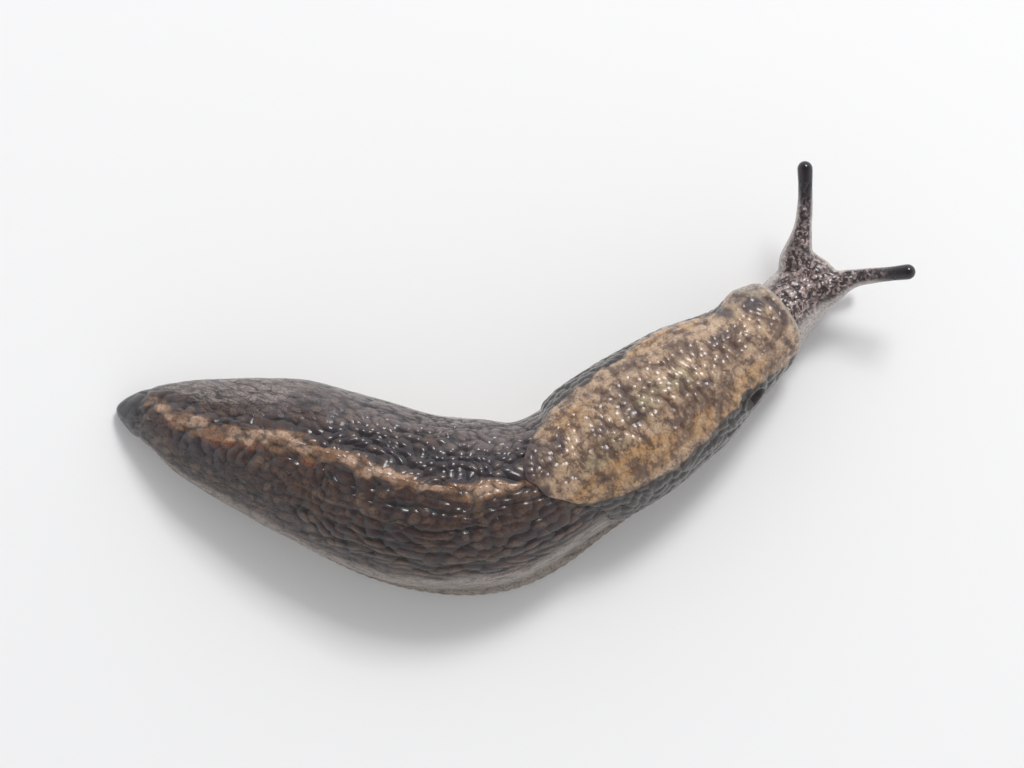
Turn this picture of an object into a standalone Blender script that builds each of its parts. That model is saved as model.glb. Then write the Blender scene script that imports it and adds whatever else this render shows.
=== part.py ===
"""A keeled slug of the taildropper family, gliding, life size, in metres.

+Z is up, +X runs from the tail towards the head and +Y is to the animal's left. The sole
rests on the plane z = 0. The body follows one bent line on that plane, the spine line, and
its widths and heights are given by the distance along that line from the tip of the tail.
"""

import bmesh
import bpy
import numpy as np

MM = 0.001

# All sizes are in millimetres. The length is measured along the body's bend.
BODY_LENGTH = 40.5

# Clear space between two pieces that touch in life.
GAP = 0.3

# The foot stands out past the body's base by the fringe's reach. The fringe is a line of
# distances from the foot's edge and heights. The body's base is at least this share of
# the sole's width.
FOOT_THICKNESS = 0.7
FRINGE_REACH = 0.35
FRINGE_LINE = [(-0.22, 0.0), (-0.04, 0.14), (0.0, 0.34), (-0.1, 0.54), (-0.3, FOOT_THICKNESS)]
LEAST_BASE = 0.7

# The keel, a low ridge along the top of the back, and where it rises and fades out.
KEEL_HEIGHT = 0.28
KEEL_HALF_WIDTH = 0.6
KEEL_SHARPNESS = 1.3
KEEL_RISE = (0.8, 4.0)
KEEL_FADE = (17.0, 20.5)

# The middle of the animal's bounding box, in the coordinates of the tables below.
CENTRE_OF_BOX = (0.069, -0.297)

# The spine line on the floor, from the tip of the tail to the snout.
SPINE_LINE = [
    (-19.7, -1.35), (-17.75, -1.8), (-14.8, -2.8), (-11.75, -3.72), (-8.55, -4.92),
    (-5.6, -6.05), (-2.2, -6.5), (1.0, -5.82), (3.88, -4.14), (6.65, -2.3),
    (9.25, -0.34), (11.85, 1.7), (13.2, 3.0), (14.6, 4.6), (15.75, 5.95),
]

# Distance from the tip of the tail, half width of the body and height of its back.
BODY_SIZES = [
    (0.0, 0.75, 1.1), (2.0, 1.5, 2.5), (3.7, 2.33, 3.5), (5.3, 2.85, 4.3),
    (8.5, 3.62, 5.45), (11.8, 4.05, 6.1), (15.0, 4.2, 6.5), (17.2, 4.15, 6.6),
    (19.9, 3.95, 6.4), (23.0, 3.32, 6.0), (26.4, 3.32, 5.95), (29.6, 3.08, 5.7),
    (31.2, 2.84, 5.4), (34.4, 1.95, 4.5), (36.2, 1.72, 3.85), (37.5, 1.68, 3.6),
    (38.9, 1.5, 3.3), (40.5, 1.1, 2.9),
]

# The body is widest at this share of its back's height.
WIDEST_HEIGHT = 0.42

# Distance from the tip of the tail, and the sole's half width as a share of the body's.
SOLE_SHARE = [(0.0, 0.88), (5.0, 0.94), (14.0, 0.96), (21.5, 1.06), (28.0, 0.94), (40.5, 0.85)]

# The tip of the tail: where it ends, the height of its lower edge, and how far the sole
# stands in from there as a share of the half width.
TAIL_TIP_END = 2.6
TAIL_EDGE_HEIGHT = 0.34
TAIL_EDGE_INSET = 0.12

# The lengths of the body above the foot: name, start, end and distance between rings.
BODY_LENGTHS = [
    ("tail", 2.6, 8.4, 0.8), ("back_rear", 8.4, 14.8, 0.8), ("back_front", 14.8, 21.6, 0.45),
    ("trunk_rear", 21.6, 28.6, 0.45), ("trunk_front", 28.6, 35.4, 0.7),
    ("neck", 35.4, 37.3, 0.35),
]
HEAD_START = 37.3
FOOT_LENGTHS = [
    ("foot_tail", 2.6, 10.4, 0.8), ("foot_rear", 10.4, 19.6, 0.8),
    ("foot_middle", 19.6, 28.8, 0.8),
]
FOOT_FRONT_LENGTH = (28.8, 39.5)

# How far each rounded end runs back from its tip, and the share of its width that it
# closes on.
TAIL_ROUND = 1.5
SNOUT_ROUND = 1.4
FOOT_FRONT_ROUND = 1.3
TIP_SHARE = 0.05

# The mantle, a shield over the front half of the back: where it starts and ends, how far
# its front leans and its ends and corners round off, and how far it reaches down each side.
MANTLE_REAR = 21.2
MANTLE_FRONT = 36.9
MANTLE_FRONT_SKEW = 0.6
MANTLE_REAR_ROUND = 2.4
MANTLE_REAR_REACH = 0.6
MANTLE_REAR_CORNER = 1.3
MANTLE_FRONT_ROUND = 1.0
MANTLE_CORNER_POWER = 2.6
MANTLE_SIDE_ANGLE = 104.0

# How far the mantle stands above the body's outline at its rim, in its middle and in front,
# how steeply it falls to its side rims and its end rims, and where the front's rise starts.
MANTLE_RISE = 0.2
MANTLE_DOME = 0.4
HOOD_RISE = 0.1
SIDE_RIM_POWER = 3.0
END_RIM_POWER = 5.0
HOOD_START = 0.85

# How far the trunk lies below the body's outline to make room for the mantle, and over
# what length and angle it comes back up beyond the mantle's edge.
TRUNK_SINK = 0.6
SINK_RUN = 0.85
NECK_RUN = 1.7
SINK_SPARE = 0.25
SINK_SIDE_ANGLE = 118.0
SINK_SIDE_FADE = (112.0, 168.0)

# The lobe at the left of the mantle's front, by distance and degrees from the top.
LOBE_PLACE = (35.6, -42.0)
LOBE_SIZE = (1.1, 34.0)
LOBE_RISE = 0.5

# The breathing pore, a slit on the right of the mantle near its rim.
PORE_PLACE = (32.8, 60.0)
PORE_SIZE = (0.62, 0.3, 0.26)

# Eyestalks: the root inside the head, a point along the stem, and the tip.
EYESTALK_PATHS = {
    "left": [(13.9, 5.1, 2.5), (14.25, 6.4, 3.2), (14.4, 7.2, 3.65), (14.42, 10.12, 5.2)],
    "right": [(15.1, 3.9, 2.4), (16.4, 4.55, 2.95), (18.2, 4.7, 3.8), (19.82, 4.72, 4.5)],
}
# Distance from the tip as a share of the stalk's length, and radius.
EYESTALK_RADII = [
    (0.0, 0.36), (0.08, 0.375), (0.16, 0.36), (0.34, 0.365), (0.48, 0.42),
    (0.6, 0.51), (0.72, 0.68), (0.84, 0.86), (1.0, 0.98),
]
# The length of the knob's round end, and the shares at which knob, stem and root end.
KNOB_ROUND = 0.38
EYE_SHARE = 0.19
STEM_SHARE = 0.42
ROOT_SHARE = 0.68

# Feelers below the eyestalks: root and tip.
FEELER_PATHS = {
    "left": [(14.5, 6.57, 1.45), (14.42, 7.4, 1.1)],
    "right": [(16.6, 5.0, 1.45), (17.45, 5.08, 1.1)],
}
FEELER_RADIUS = 0.3
FEELER_FLARE = 0.35

# Lips and the line of the mouth between them: distance along the spine line, distance
# from its middle and height, and half sizes along, across and up.
LIP_PLACE = (39.6, 0.42, 1.38)
LIP_SIZE = (0.88, 0.46, 0.5)
MOUTH_PLACE = (40.4, 0.0, 1.32)
MOUTH_SIZE = (0.8, 1.1, 0.09)

# Colour and roughness of each kind of skin.
SKINS = {
    "back": ((0.21, 0.18, 0.165, 1.0), 0.45),
    "tail": ((0.085, 0.062, 0.055, 1.0), 0.45),
    "head": ((0.17, 0.115, 0.1, 1.0), 0.4),
    "mantle": ((0.33, 0.19, 0.09, 1.0), 0.4),
    "sole": ((0.36, 0.32, 0.27, 1.0), 0.5),
    "eye": ((0.012, 0.01, 0.012, 1.0), 0.15),
}

# How finely the outlines and the mantle are divided, how much closer the mantle's rows
# stand near its rim, and the steps of rings, tubes, ellipsoids and rounded ends.
UPPER_STEPS = 11
LOWER_STEPS = 6
MANTLE_STEPS = 26
MANTLE_CROWD_ALONG = 0.75
MANTLE_CROWD_ACROSS = 0.6
RING_STEP = 0.8
HEAD_RING_STEP = 0.4
STALK_SIDES = 14
STEM_STEPS = 4
ROOT_STEPS = 5
TIP_STEPS = 4
FEELER_SIDES = 12
EGG_SIDES = 12
EGG_TURNS = np.radians(np.linspace(6.0, 174.0, 9))
ROUND_TURNS = np.radians([0, 12, 25, 40, 57, 74])
TIP_TURNS = np.radians([0, 18, 36, 54, 72, 90])

# Small steps to either side of a place that give a line's direction there.
DIRECTION_REACH = 0.05
DIRECTION_TURN = 2.0

# Edges that bend by more than this many degrees are shaded sharp.
SHARP_BEND = 40.0


def smooth_curve(knots, values):
    """A natural cubic spline through the values at the knots, as a function of distance."""
    x = np.asarray(knots, float)
    y = np.asarray(values, float)
    step = np.diff(x)
    count = len(x)
    matrix = np.eye(count)
    right = np.zeros_like(y)
    for i in range(1, count - 1):
        matrix[i, i - 1 : i + 2] = step[i - 1], 2 * (step[i - 1] + step[i]), step[i]
        right[i] = 6 * ((y[i + 1] - y[i]) / step[i] - (y[i] - y[i - 1]) / step[i - 1])
    bend = np.linalg.solve(matrix, right)

    def at(s):
        i = int(np.clip(np.searchsorted(x, s) - 1, 0, count - 2))
        h, after, before = step[i], s - x[i], x[i + 1] - s
        curved = (bend[i] * before**3 + bend[i + 1] * after**3) / (6 * h)
        from_left = (y[i] / h - bend[i] * h / 6) * before
        from_right = (y[i + 1] / h - bend[i + 1] * h / 6) * after
        return curved + from_left + from_right

    return at


def path_curve(points):
    """A smooth curve through points by distance along their chords, and that distance."""
    points = np.asarray(points, float)
    chords = np.linalg.norm(np.diff(points, axis=0), axis=1)
    knots = np.concatenate([[0.0], np.cumsum(chords)])
    return smooth_curve(knots, points), knots[-1]


def column_curve(rows, column):
    """A smooth curve through one column of a table, by the distance in its first column."""
    return smooth_curve([row[0] for row in rows], [row[column] for row in rows])


SPINE, SPINE_LENGTH = path_curve(SPINE_LINE)
HALF_WIDTH = column_curve(BODY_SIZES, 1)
BACK_HEIGHT = column_curve(BODY_SIZES, 2)
SOLE_PART = column_curve(SOLE_SHARE, 1)
STALK_RADIUS = column_curve(EYESTALK_RADII, 1)


def ease(value, low, high):
    """0 below low, 1 above high, and smooth between them."""
    t = float(np.clip((value - low) / (high - low), 0.0, 1.0))
    return t * t * (3 - 2 * t)


def end_round(distance, reach):
    """The share of its width that a rounded end has at this distance from its tip."""
    t = float(np.clip(distance / reach, 0.0, 1.0))
    return max(TIP_SHARE, (1 - (1 - t) ** 2) ** 0.5)


def spine_frame(s):
    """The spine line's point at s, and the direction to the animal's right there."""
    scale = SPINE_LENGTH / BODY_LENGTH
    here = SPINE(s * scale)
    ahead = SPINE((s + DIRECTION_REACH) * scale) - SPINE((s - DIRECTION_REACH) * scale)
    ahead = ahead / np.linalg.norm(ahead)
    return here, np.array([ahead[1], -ahead[0]])


def world(x, y, z):
    """A point in metres, with the origin below the middle of the animal."""
    return ((x - CENTRE_OF_BOX[0]) * MM, (y - CENTRE_OF_BOX[1]) * MM, z * MM)


def place(s, across, z, ahead=0.0):
    """A point by distance along the spine line, distance to the right, and height.

    ahead moves it straight on from there, so that both faces of a cut are parallel.
    """
    here, right = spine_frame(s)
    forward = np.array([-right[1], right[0]])
    x, y = here + right * across + forward * ahead
    return world(x, y, z)


def body_sizes(s):
    """Half width, back height, height of the widest line and sole half width at s."""
    rounding = end_round(s, TAIL_ROUND) * end_round(BODY_LENGTH - s, SNOUT_ROUND)
    wide = HALF_WIDTH(s) * rounding
    middle = WIDEST_HEIGHT * BACK_HEIGHT(s)
    high = middle + (BACK_HEIGHT(s) - middle) * rounding
    return wide, high, middle, wide * SOLE_PART(s)


def keel_rise(s, across):
    """Height of the keel: a low ridge along the back that fades out before the mantle."""
    height = KEEL_HEIGHT * ease(s, *KEEL_RISE) * (1 - ease(s, *KEEL_FADE))
    return height * max(0.0, 1 - abs(across) / KEEL_HALF_WIDTH) ** KEEL_SHARPNESS


def skin_point(s, angle):
    """A point of the body's outline: across and height, by degrees from the top."""
    wide, high, middle, sole = body_sizes(s)
    turn = np.radians(min(abs(angle), 180.0))
    side = 1.0 if angle >= 0 else -1.0
    if turn <= np.pi / 2:
        across = wide * np.sin(turn)
        z = middle + (high - middle) * np.cos(turn) + keel_rise(s, across)
        return side * across, z
    base = max(sole - FRINGE_REACH, LEAST_BASE * sole)
    low = FOOT_THICKNESS + GAP
    across = base + (wide - base) * np.sin(turn)
    return side * across, middle + (middle - low) * np.cos(turn)


def raised(s, angle, lift):
    """The outline's point at this angle, moved out from the skin by lift."""
    across, z = skin_point(s, angle)
    across_a, z_a = skin_point(s, angle - DIRECTION_TURN)
    across_b, z_b = skin_point(s, angle + DIRECTION_TURN)
    normal = np.array([z_a - z_b, across_b - across_a])
    normal = normal / np.linalg.norm(normal)
    return across + normal[0] * lift, z + normal[1] * lift


def mantle_ends(u):
    """Where the mantle starts and ends. u is -1 at its left rim and 1 at its right rim."""
    corner = 1 - (1 - min(abs(u), 1.0) ** MANTLE_CORNER_POWER) ** 0.5
    rear = MANTLE_REAR + MANTLE_REAR_ROUND * ease(abs(u), 0.0, MANTLE_REAR_REACH)
    rear += MANTLE_REAR_CORNER * corner
    front = MANTLE_FRONT - MANTLE_FRONT_SKEW * u - MANTLE_FRONT_ROUND * corner
    return rear, front


def trunk_sink(s, angle):
    """How far the trunk lies below the body's outline, to make room for the mantle."""
    rear, front = mantle_ends(angle / SINK_SIDE_ANGLE)
    before = ease(s, rear - SINK_RUN, rear - SINK_SPARE)
    beyond = ease(s, front + SINK_SPARE, front + NECK_RUN)
    around = 1 - ease(abs(angle), *SINK_SIDE_FADE)
    return TRUNK_SINK * before * (1 - beyond) * around


def body_ring(s, ahead=0.0):
    """The closed outline of the body above the foot: over the back and across its base."""
    upper = [90.0 * i / UPPER_STEPS for i in range(1, UPPER_STEPS + 1)]
    lower = [90.0 + 90.0 * i / LOWER_STEPS for i in range(1, LOWER_STEPS + 1)]
    right = upper + lower
    angles = [-a for a in reversed(right)] + [0.0] + right
    return [place(s, *raised(s, a, -trunk_sink(s, a)), ahead) for a in angles]


def foot_ring(s, ahead=0.0):
    """The closed outline of the foot: a slab with a round fringe along each edge."""
    share = end_round(FOOT_FRONT_LENGTH[1] - s, FOOT_FRONT_ROUND)
    sole = body_sizes(s)[3]
    right = [((sole + across) * share, z) for across, z in FRINGE_LINE]
    left = [(-across, z) for across, z in reversed(right)]
    return [place(s, across, z, ahead) for across, z in right + left]


def tail_tip_ring(s, ahead=0.0):
    """The tip of the tail is one piece from its ridge to its sole."""
    wide, high, middle, sole = body_sizes(s)
    over = [skin_point(s, 90.0 * i / UPPER_STEPS) for i in range(UPPER_STEPS + 1)]
    low = [(sole, TAIL_EDGE_HEIGHT * min(1.0, middle)), (sole - TAIL_EDGE_INSET * wide, 0.0)]
    right = over + low
    left = [(-across, z) for across, z in reversed(right[1:])]
    return [place(s, across, z, ahead) for across, z in left + right]


def material(name, colour, roughness):
    made = bpy.data.materials.new(name)
    made.use_nodes = True
    shader = made.node_tree.nodes["Principled BSDF"]
    shader.inputs["Base Color"].default_value = colour
    shader.inputs["Roughness"].default_value = roughness
    shader.inputs["Metallic"].default_value = 0.0
    return made


def solid(name, points, faces, finish):
    """One closed piece with its faces pointing out, shaded smooth up to sharp edges."""
    mesh = bpy.data.meshes.new(name)
    mesh.from_pydata(points, [], faces)
    work = bmesh.new()
    work.from_mesh(mesh)
    bmesh.ops.triangulate(work, faces=[f for f in work.faces if len(f.verts) > 4])
    bmesh.ops.recalc_face_normals(work, faces=work.faces)
    work.to_mesh(mesh)
    work.free()
    mesh.shade_smooth()
    mesh.set_sharp_from_angle(angle=np.radians(SHARP_BEND))
    mesh.materials.append(finish)
    piece = bpy.data.objects.new(name, mesh)
    bpy.context.scene.collection.objects.link(piece)
    return piece


def loft(name, rings, finish):
    """A solid skinned over closed rings of equal length, with both ends filled."""
    size = len(rings[0])
    points = [point for ring in rings for point in ring]
    faces = []
    for i in range(len(rings) - 1):
        a, b = i * size, (i + 1) * size
        for j in range(size):
            k = (j + 1) % size
            faces.append((a + j, a + k, b + k, b + j))
    last = (len(rings) - 1) * size
    faces.append(tuple(range(size)))
    faces.append(tuple(reversed(range(last, last + size))))
    return solid(name, points, faces, finish)


def round_end(reach):
    """Distances from the tip of a rounded end, set closer towards the tip."""
    return [reach * (1 - np.cos(turn)) for turn in ROUND_TURNS]


def between(start, end, step):
    """Distances from start to end, both kept, about one step apart."""
    count = max(2, int(np.ceil((end - start) / step)))
    return [float(s) for s in np.linspace(start, end, count + 1)]


def cut_rings(ring, places, gap_before, gap_after):
    """Rings at these places. At a cut the end ring stands back by half of the gap."""
    rings = [ring(s) for s in places]
    if gap_before:
        rings[0] = ring(places[0], GAP / 2)
    if gap_after:
        rings[-1] = ring(places[-1], -GAP / 2)
    return rings


def build_body(finishes):
    """Every length of the body above the foot, from the tail to the neck."""
    places = round_end(TAIL_ROUND) + between(TAIL_ROUND, TAIL_TIP_END, RING_STEP)
    loft("tail_tip", cut_rings(tail_tip_ring, places, False, True), finishes["tail"])
    for name, start, end, step in BODY_LENGTHS:
        rings = cut_rings(body_ring, between(start, end, step), True, True)
        loft(name, rings, finishes["head" if name == "neck" else "back"])


def build_foot(finish):
    """The foot in lengths, each a flat slab with a fringe, resting on the floor."""
    for name, start, end, step in FOOT_LENGTHS:
        loft(name, cut_rings(foot_ring, between(start, end, step), True, True), finish)
    start, end = FOOT_FRONT_LENGTH
    tip = [end - d for d in reversed(round_end(FOOT_FRONT_ROUND))]
    places = between(start, end - FOOT_FRONT_ROUND, RING_STEP) + tip
    loft("foot_front", cut_rings(foot_ring, places, True, False), finish)


def egg(name, s, middle_at, half_sizes, finish):
    """An ellipsoid along the spine line round s. middle_at gives its axis at a distance."""
    along_size, across_size, up_size = half_sizes
    rings = []
    for turn in EGG_TURNS:
        here = s - along_size * np.cos(turn)
        across, z = middle_at(here)
        ring = []
        for k in range(EGG_SIDES):
            a = 2 * np.pi * k / EGG_SIDES
            side = across_size * np.sin(turn) * np.cos(a)
            up = up_size * np.sin(turn) * np.sin(a)
            ring.append(place(here, across + side, z + up))
        rings.append(ring)
    return loft(name, rings, finish)


def mantle_rise(u, v, s, angle):
    """How far the mantle stands above the body's outline, with a lobe at its left front."""
    edge = max(abs(u) ** SIDE_RIM_POWER, abs(2 * v - 1) ** END_RIM_POWER)
    along = (s - LOBE_PLACE[0]) / LOBE_SIZE[0]
    around = (angle - LOBE_PLACE[1]) / LOBE_SIZE[1]
    lobe = LOBE_RISE * np.exp(-(along**2) - around**2)
    hood = HOOD_RISE * ease(v, HOOD_START, 1.0)
    return MANTLE_RISE + MANTLE_DOME * (1 - edge) + lobe + hood


def spread(count, crowd):
    """Values from 0 to 1, closer together near both ends as crowd grows."""
    even = np.linspace(0.0, 1.0, count + 1)
    return (1 - crowd) * even + crowd * (0.5 - 0.5 * np.cos(np.pi * even))


def mantle_top(s, angle):
    """A point of the mantle's upper face: across and height."""
    u = angle / MANTLE_SIDE_ANGLE
    rear, front = mantle_ends(u)
    return raised(s, angle, mantle_rise(u, (s - rear) / (front - rear), s, angle))


def build_mantle(finish):
    """The mantle: an upper face, a lower face over the trunk, and a rim between them."""
    upper, lower = [], []
    for v in spread(MANTLE_STEPS, MANTLE_CROWD_ALONG):
        for u in 2 * spread(MANTLE_STEPS, MANTLE_CROWD_ACROSS) - 1:
            rear, front = mantle_ends(u)
            s, angle = rear + (front - rear) * v, MANTLE_SIDE_ANGLE * u
            upper.append(place(s, *mantle_top(s, angle)))
            lower.append(place(s, *raised(s, angle, GAP - trunk_sink(s, angle))))
    size = MANTLE_STEPS + 1
    faces = []
    for i in range(MANTLE_STEPS):
        for j in range(MANTLE_STEPS):
            a = i * size + j
            quad = (a, a + 1, a + size + 1, a + size)
            faces.append(quad)
            faces.append(tuple(len(upper) + k for k in reversed(quad)))
    rim = list(range(size))
    rim += [i * size + MANTLE_STEPS for i in range(1, size)]
    rim += [MANTLE_STEPS * size + j for j in reversed(range(MANTLE_STEPS))]
    rim += [i * size for i in reversed(range(1, MANTLE_STEPS))]
    for a, b in zip(rim, rim[1:] + rim[:1]):
        faces.append((b, a, len(upper) + a, len(upper) + b))
    mantle = solid("mantle", upper + lower, faces, finish)
    s, angle = PORE_PLACE
    pore = egg("pore", s, lambda s: mantle_top(s, angle), PORE_SIZE, finish)
    boolean(mantle, [pore], "DIFFERENCE")


def tube_rings(path, radius_at, shares, sides):
    """Rings round a smooth path. A share is 0 at the path's tip and 1 at its root."""
    curve, length = path_curve(path)
    rings = []
    for share in shares:
        along = length * (1 - share)
        beyond = min(along + DIRECTION_REACH, length)
        ahead = curve(beyond) - curve(max(along - DIRECTION_REACH, 0.0))
        ahead = ahead / np.linalg.norm(ahead)
        level = np.cross(ahead, (0.0, 0.0, 1.0))
        level = level / np.linalg.norm(level)
        upright = np.cross(level, ahead)
        radius = radius_at(share, length)
        turns = [2 * np.pi * k / sides for k in range(sides)]
        spokes = [radius * (np.cos(t) * level + np.sin(t) * upright) for t in turns]
        rings.append([world(*(curve(along) + spoke)) for spoke in spokes])
    return rings


def stalk_radius(share, length):
    """An eyestalk's radius: a round knob, a narrow stem and a flared root."""
    return STALK_RADIUS(share) * end_round(share * length, KNOB_ROUND)


def feeler_radius(share, length):
    """A feeler's radius: a round tip on a short stem that widens to its root."""
    widening = 1 + FEELER_FLARE * share
    return FEELER_RADIUS * widening * end_round(share * length, FEELER_RADIUS)


def tip_shares(length, reach, end, count):
    """Shares that follow the round end of a tube, and then evenly go on up to end."""
    tip = [reach / length * (1 - np.cos(turn)) for turn in TIP_TURNS]
    return tip + list(np.linspace(tip[-1], end, count + 1))[1:]


def build_eyestalk(side, finishes):
    """One eyestalk in three pieces: the eye's knob, the stem and the root."""
    path = EYESTALK_PATHS[side]
    length = path_curve(path)[1]
    half_gap = GAP / 2 / length
    knob = tip_shares(length, KNOB_ROUND, EYE_SHARE - half_gap, TIP_STEPS)
    stem = np.linspace(EYE_SHARE + half_gap, STEM_SHARE - half_gap, STEM_STEPS + 1)
    root = np.linspace(STEM_SHARE + half_gap, ROOT_SHARE - half_gap, ROOT_STEPS + 1)
    loft("eye_" + side, tube_rings(path, stalk_radius, knob, STALK_SIDES), finishes["eye"])
    for name, shares in (("eyestalk_stem_", stem), ("eyestalk_root_", root)):
        loft(name + side, tube_rings(path, stalk_radius, shares, STALK_SIDES), finishes["head"])


def build_feeler(side, finish):
    """One of the two short feelers below the eyestalks."""
    path = FEELER_PATHS[side]
    length = path_curve(path)[1]
    shares = tip_shares(length, FEELER_RADIUS, 1.0, TIP_STEPS)
    loft("feeler_" + side, tube_rings(path, feeler_radius, shares, FEELER_SIDES), finish)


def keep_largest(mesh):
    """Keeps only the largest of the closed surfaces in the mesh."""
    work = bmesh.new()
    work.from_mesh(mesh)
    left = set(work.faces)
    shells = []
    while left:
        waiting = [left.pop()]
        shell = list(waiting)
        while waiting:
            for edge in waiting.pop().edges:
                near = [f for f in edge.link_faces if f in left]
                left.difference_update(near)
                waiting += near
                shell += near
        shells.append(shell)
    shells.sort(key=lambda shell: sum(f.calc_area() for f in shell))
    loose = [f for shell in shells[:-1] for f in shell]
    bmesh.ops.delete(work, geom=loose, context="FACES")
    work.to_mesh(mesh)
    work.free()


def boolean(base, others, operation):
    """Joins the other pieces to base or cuts them away, and then removes them."""
    group = bpy.data.collections.new(base.name + "_" + operation.lower())
    for piece in others:
        group.objects.link(piece)
    change = base.modifiers.new(operation.lower(), "BOOLEAN")
    change.operation = operation
    change.operand_type = "COLLECTION"
    change.collection = group
    change.solver = "EXACT"
    graph = bpy.context.evaluated_depsgraph_get()
    mesh = bpy.data.meshes.new_from_object(base.evaluated_get(graph))
    base.modifiers.clear()
    base.data = mesh
    keep_largest(mesh)
    mesh.set_sharp_from_angle(angle=np.radians(SHARP_BEND))
    for piece in others:
        bpy.data.objects.remove(piece)
    bpy.data.collections.remove(group)


def build_head(finish):
    """The head: a round block with the flared roots of the eyestalks and two lips."""
    snout = [BODY_LENGTH - d for d in reversed(round_end(SNOUT_ROUND))]
    places = between(HEAD_START, BODY_LENGTH - SNOUT_ROUND, HEAD_RING_STEP) + snout
    head = loft("head", cut_rings(body_ring, places, True, False), finish)
    s, reach, z = LIP_PLACE
    joined = [egg("lip_left", s, lambda s: (-reach, z), LIP_SIZE, finish)]
    joined.append(egg("lip_right", s, lambda s: (reach, z), LIP_SIZE, finish))
    for side, path in EYESTALK_PATHS.items():
        length = path_curve(path)[1]
        shares = np.linspace(ROOT_SHARE + GAP / 2 / length, 1.0, ROOT_STEPS + 1)
        rings = tube_rings(path, stalk_radius, shares, STALK_SIDES)
        joined.append(loft("flare_" + side, rings, finish))
    boolean(head, joined, "UNION")
    s, across, low = MOUTH_PLACE
    mouth = egg("mouth", s, lambda s: (across, low), MOUTH_SIZE, finish)
    boolean(head, [mouth], "DIFFERENCE")


def main():
    for thing in list(bpy.data.objects):
        bpy.data.objects.remove(thing)
    finishes = {name: material(name + "_skin", *values) for name, values in SKINS.items()}
    build_body(finishes)
    build_foot(finishes["sole"])
    build_mantle(finishes["mantle"])
    build_head(finishes["head"])
    for side in EYESTALK_PATHS:
        build_eyestalk(side, finishes)
        build_feeler(side, finishes["head"])
    slug = bpy.data.objects.new("slug", None)
    bpy.context.scene.collection.objects.link(slug)
    for piece in bpy.data.objects:
        if piece.type == "MESH":
            piece.parent = slug


main()
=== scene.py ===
"""A keeled slug, gliding, life size: its wet skin, its mantle and its eyes on a pale floor.

Lengths in the tables are millimetres. +X runs from the tail towards the head, +Y is to the
animal's left and +Z is up. The body is laid out by the distance along its bent middle line
and by the way round from the top of its back, positive towards its right side.
"""

import bmesh
import bpy
import numpy as np
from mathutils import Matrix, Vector, kdtree


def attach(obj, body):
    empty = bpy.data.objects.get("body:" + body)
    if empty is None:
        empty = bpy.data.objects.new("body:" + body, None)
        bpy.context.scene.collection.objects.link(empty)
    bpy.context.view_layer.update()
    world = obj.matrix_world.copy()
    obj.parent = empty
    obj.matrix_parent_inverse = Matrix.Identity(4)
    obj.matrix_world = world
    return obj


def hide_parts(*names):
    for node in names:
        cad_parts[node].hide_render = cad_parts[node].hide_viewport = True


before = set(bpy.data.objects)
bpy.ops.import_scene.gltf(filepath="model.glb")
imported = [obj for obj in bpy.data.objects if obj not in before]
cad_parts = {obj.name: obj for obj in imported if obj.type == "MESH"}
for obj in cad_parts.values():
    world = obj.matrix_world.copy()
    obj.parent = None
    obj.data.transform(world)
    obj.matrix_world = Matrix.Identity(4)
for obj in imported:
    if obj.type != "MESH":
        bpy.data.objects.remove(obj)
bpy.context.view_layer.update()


# The camera looks down on the animal from 78 degrees above the floor, with its right side
# and its tail towards the lower left of the frame. The frame is 51.2 mm wide at the floor,
# and the middle of the animal's box lies a little to the right of its middle and below it.
MM = 0.001
CAMERA_ELEVATION = 78.0
CAMERA_DISTANCE = 200.0
FRAME_WIDTH = 51.2
CENTRE_OF_BOX = (0.069, -0.297)

scene = bpy.context.scene
tilt = np.radians(CAMERA_ELEVATION)
look_back = Vector((0.0, -np.cos(tilt), np.sin(tilt)))
camera = bpy.data.objects.new("camera", bpy.data.cameras.new("camera"))
camera.data.sensor_width = 36.0
camera.data.lens = camera.data.sensor_width * CAMERA_DISTANCE / FRAME_WIDTH
camera.data.clip_start = 0.001
camera.location = Vector((*CENTRE_OF_BOX, 0.0)) * -MM + look_back * CAMERA_DISTANCE * MM
camera.rotation_euler = (-look_back).to_track_quat("-Z", "Y").to_euler()
scene.collection.objects.link(camera)
scene.camera = camera


# The skin of tail, back, flanks, foot, neck and head is one soft wet hide. It is laid round
# the body as one closed sheet, joined with eyestalks, feelers and lips, smoothed where they
# grow out of the head, and then raised into rows of tubercles with grooves between them.
BODY_LENGTH = 40.5
# Points of the middle line, seen from above, measured from the middle of the frame.
SPINE_LINE = [
    (-19.7, -1.35), (-17.75, -1.8), (-14.8, -2.8), (-11.75, -3.72), (-8.55, -4.92),
    (-5.6, -6.05), (-2.2, -6.5), (1.0, -5.82), (3.88, -4.14), (6.65, -2.3),
    (9.25, -0.34), (11.85, 1.7), (13.2, 3.0), (14.6, 4.6), (15.75, 5.95),
]
# Distance from the tip of the tail, half width of the body and height of its back.
BODY_SIZES = [
    (0.0, 0.75, 1.1), (2.0, 1.5, 2.5), (3.7, 2.33, 3.5), (5.3, 2.85, 4.3),
    (8.5, 3.62, 5.45), (11.8, 4.05, 6.1), (15.0, 4.2, 6.5), (17.2, 4.15, 6.6),
    (19.9, 3.95, 6.4), (23.0, 3.32, 6.0), (26.4, 3.32, 5.95), (29.6, 3.08, 5.7),
    (31.2, 2.84, 5.4), (34.4, 1.95, 4.5), (36.2, 1.72, 3.85), (37.5, 1.68, 3.6),
    (38.9, 1.5, 3.3), (40.5, 1.1, 2.9),
]
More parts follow.
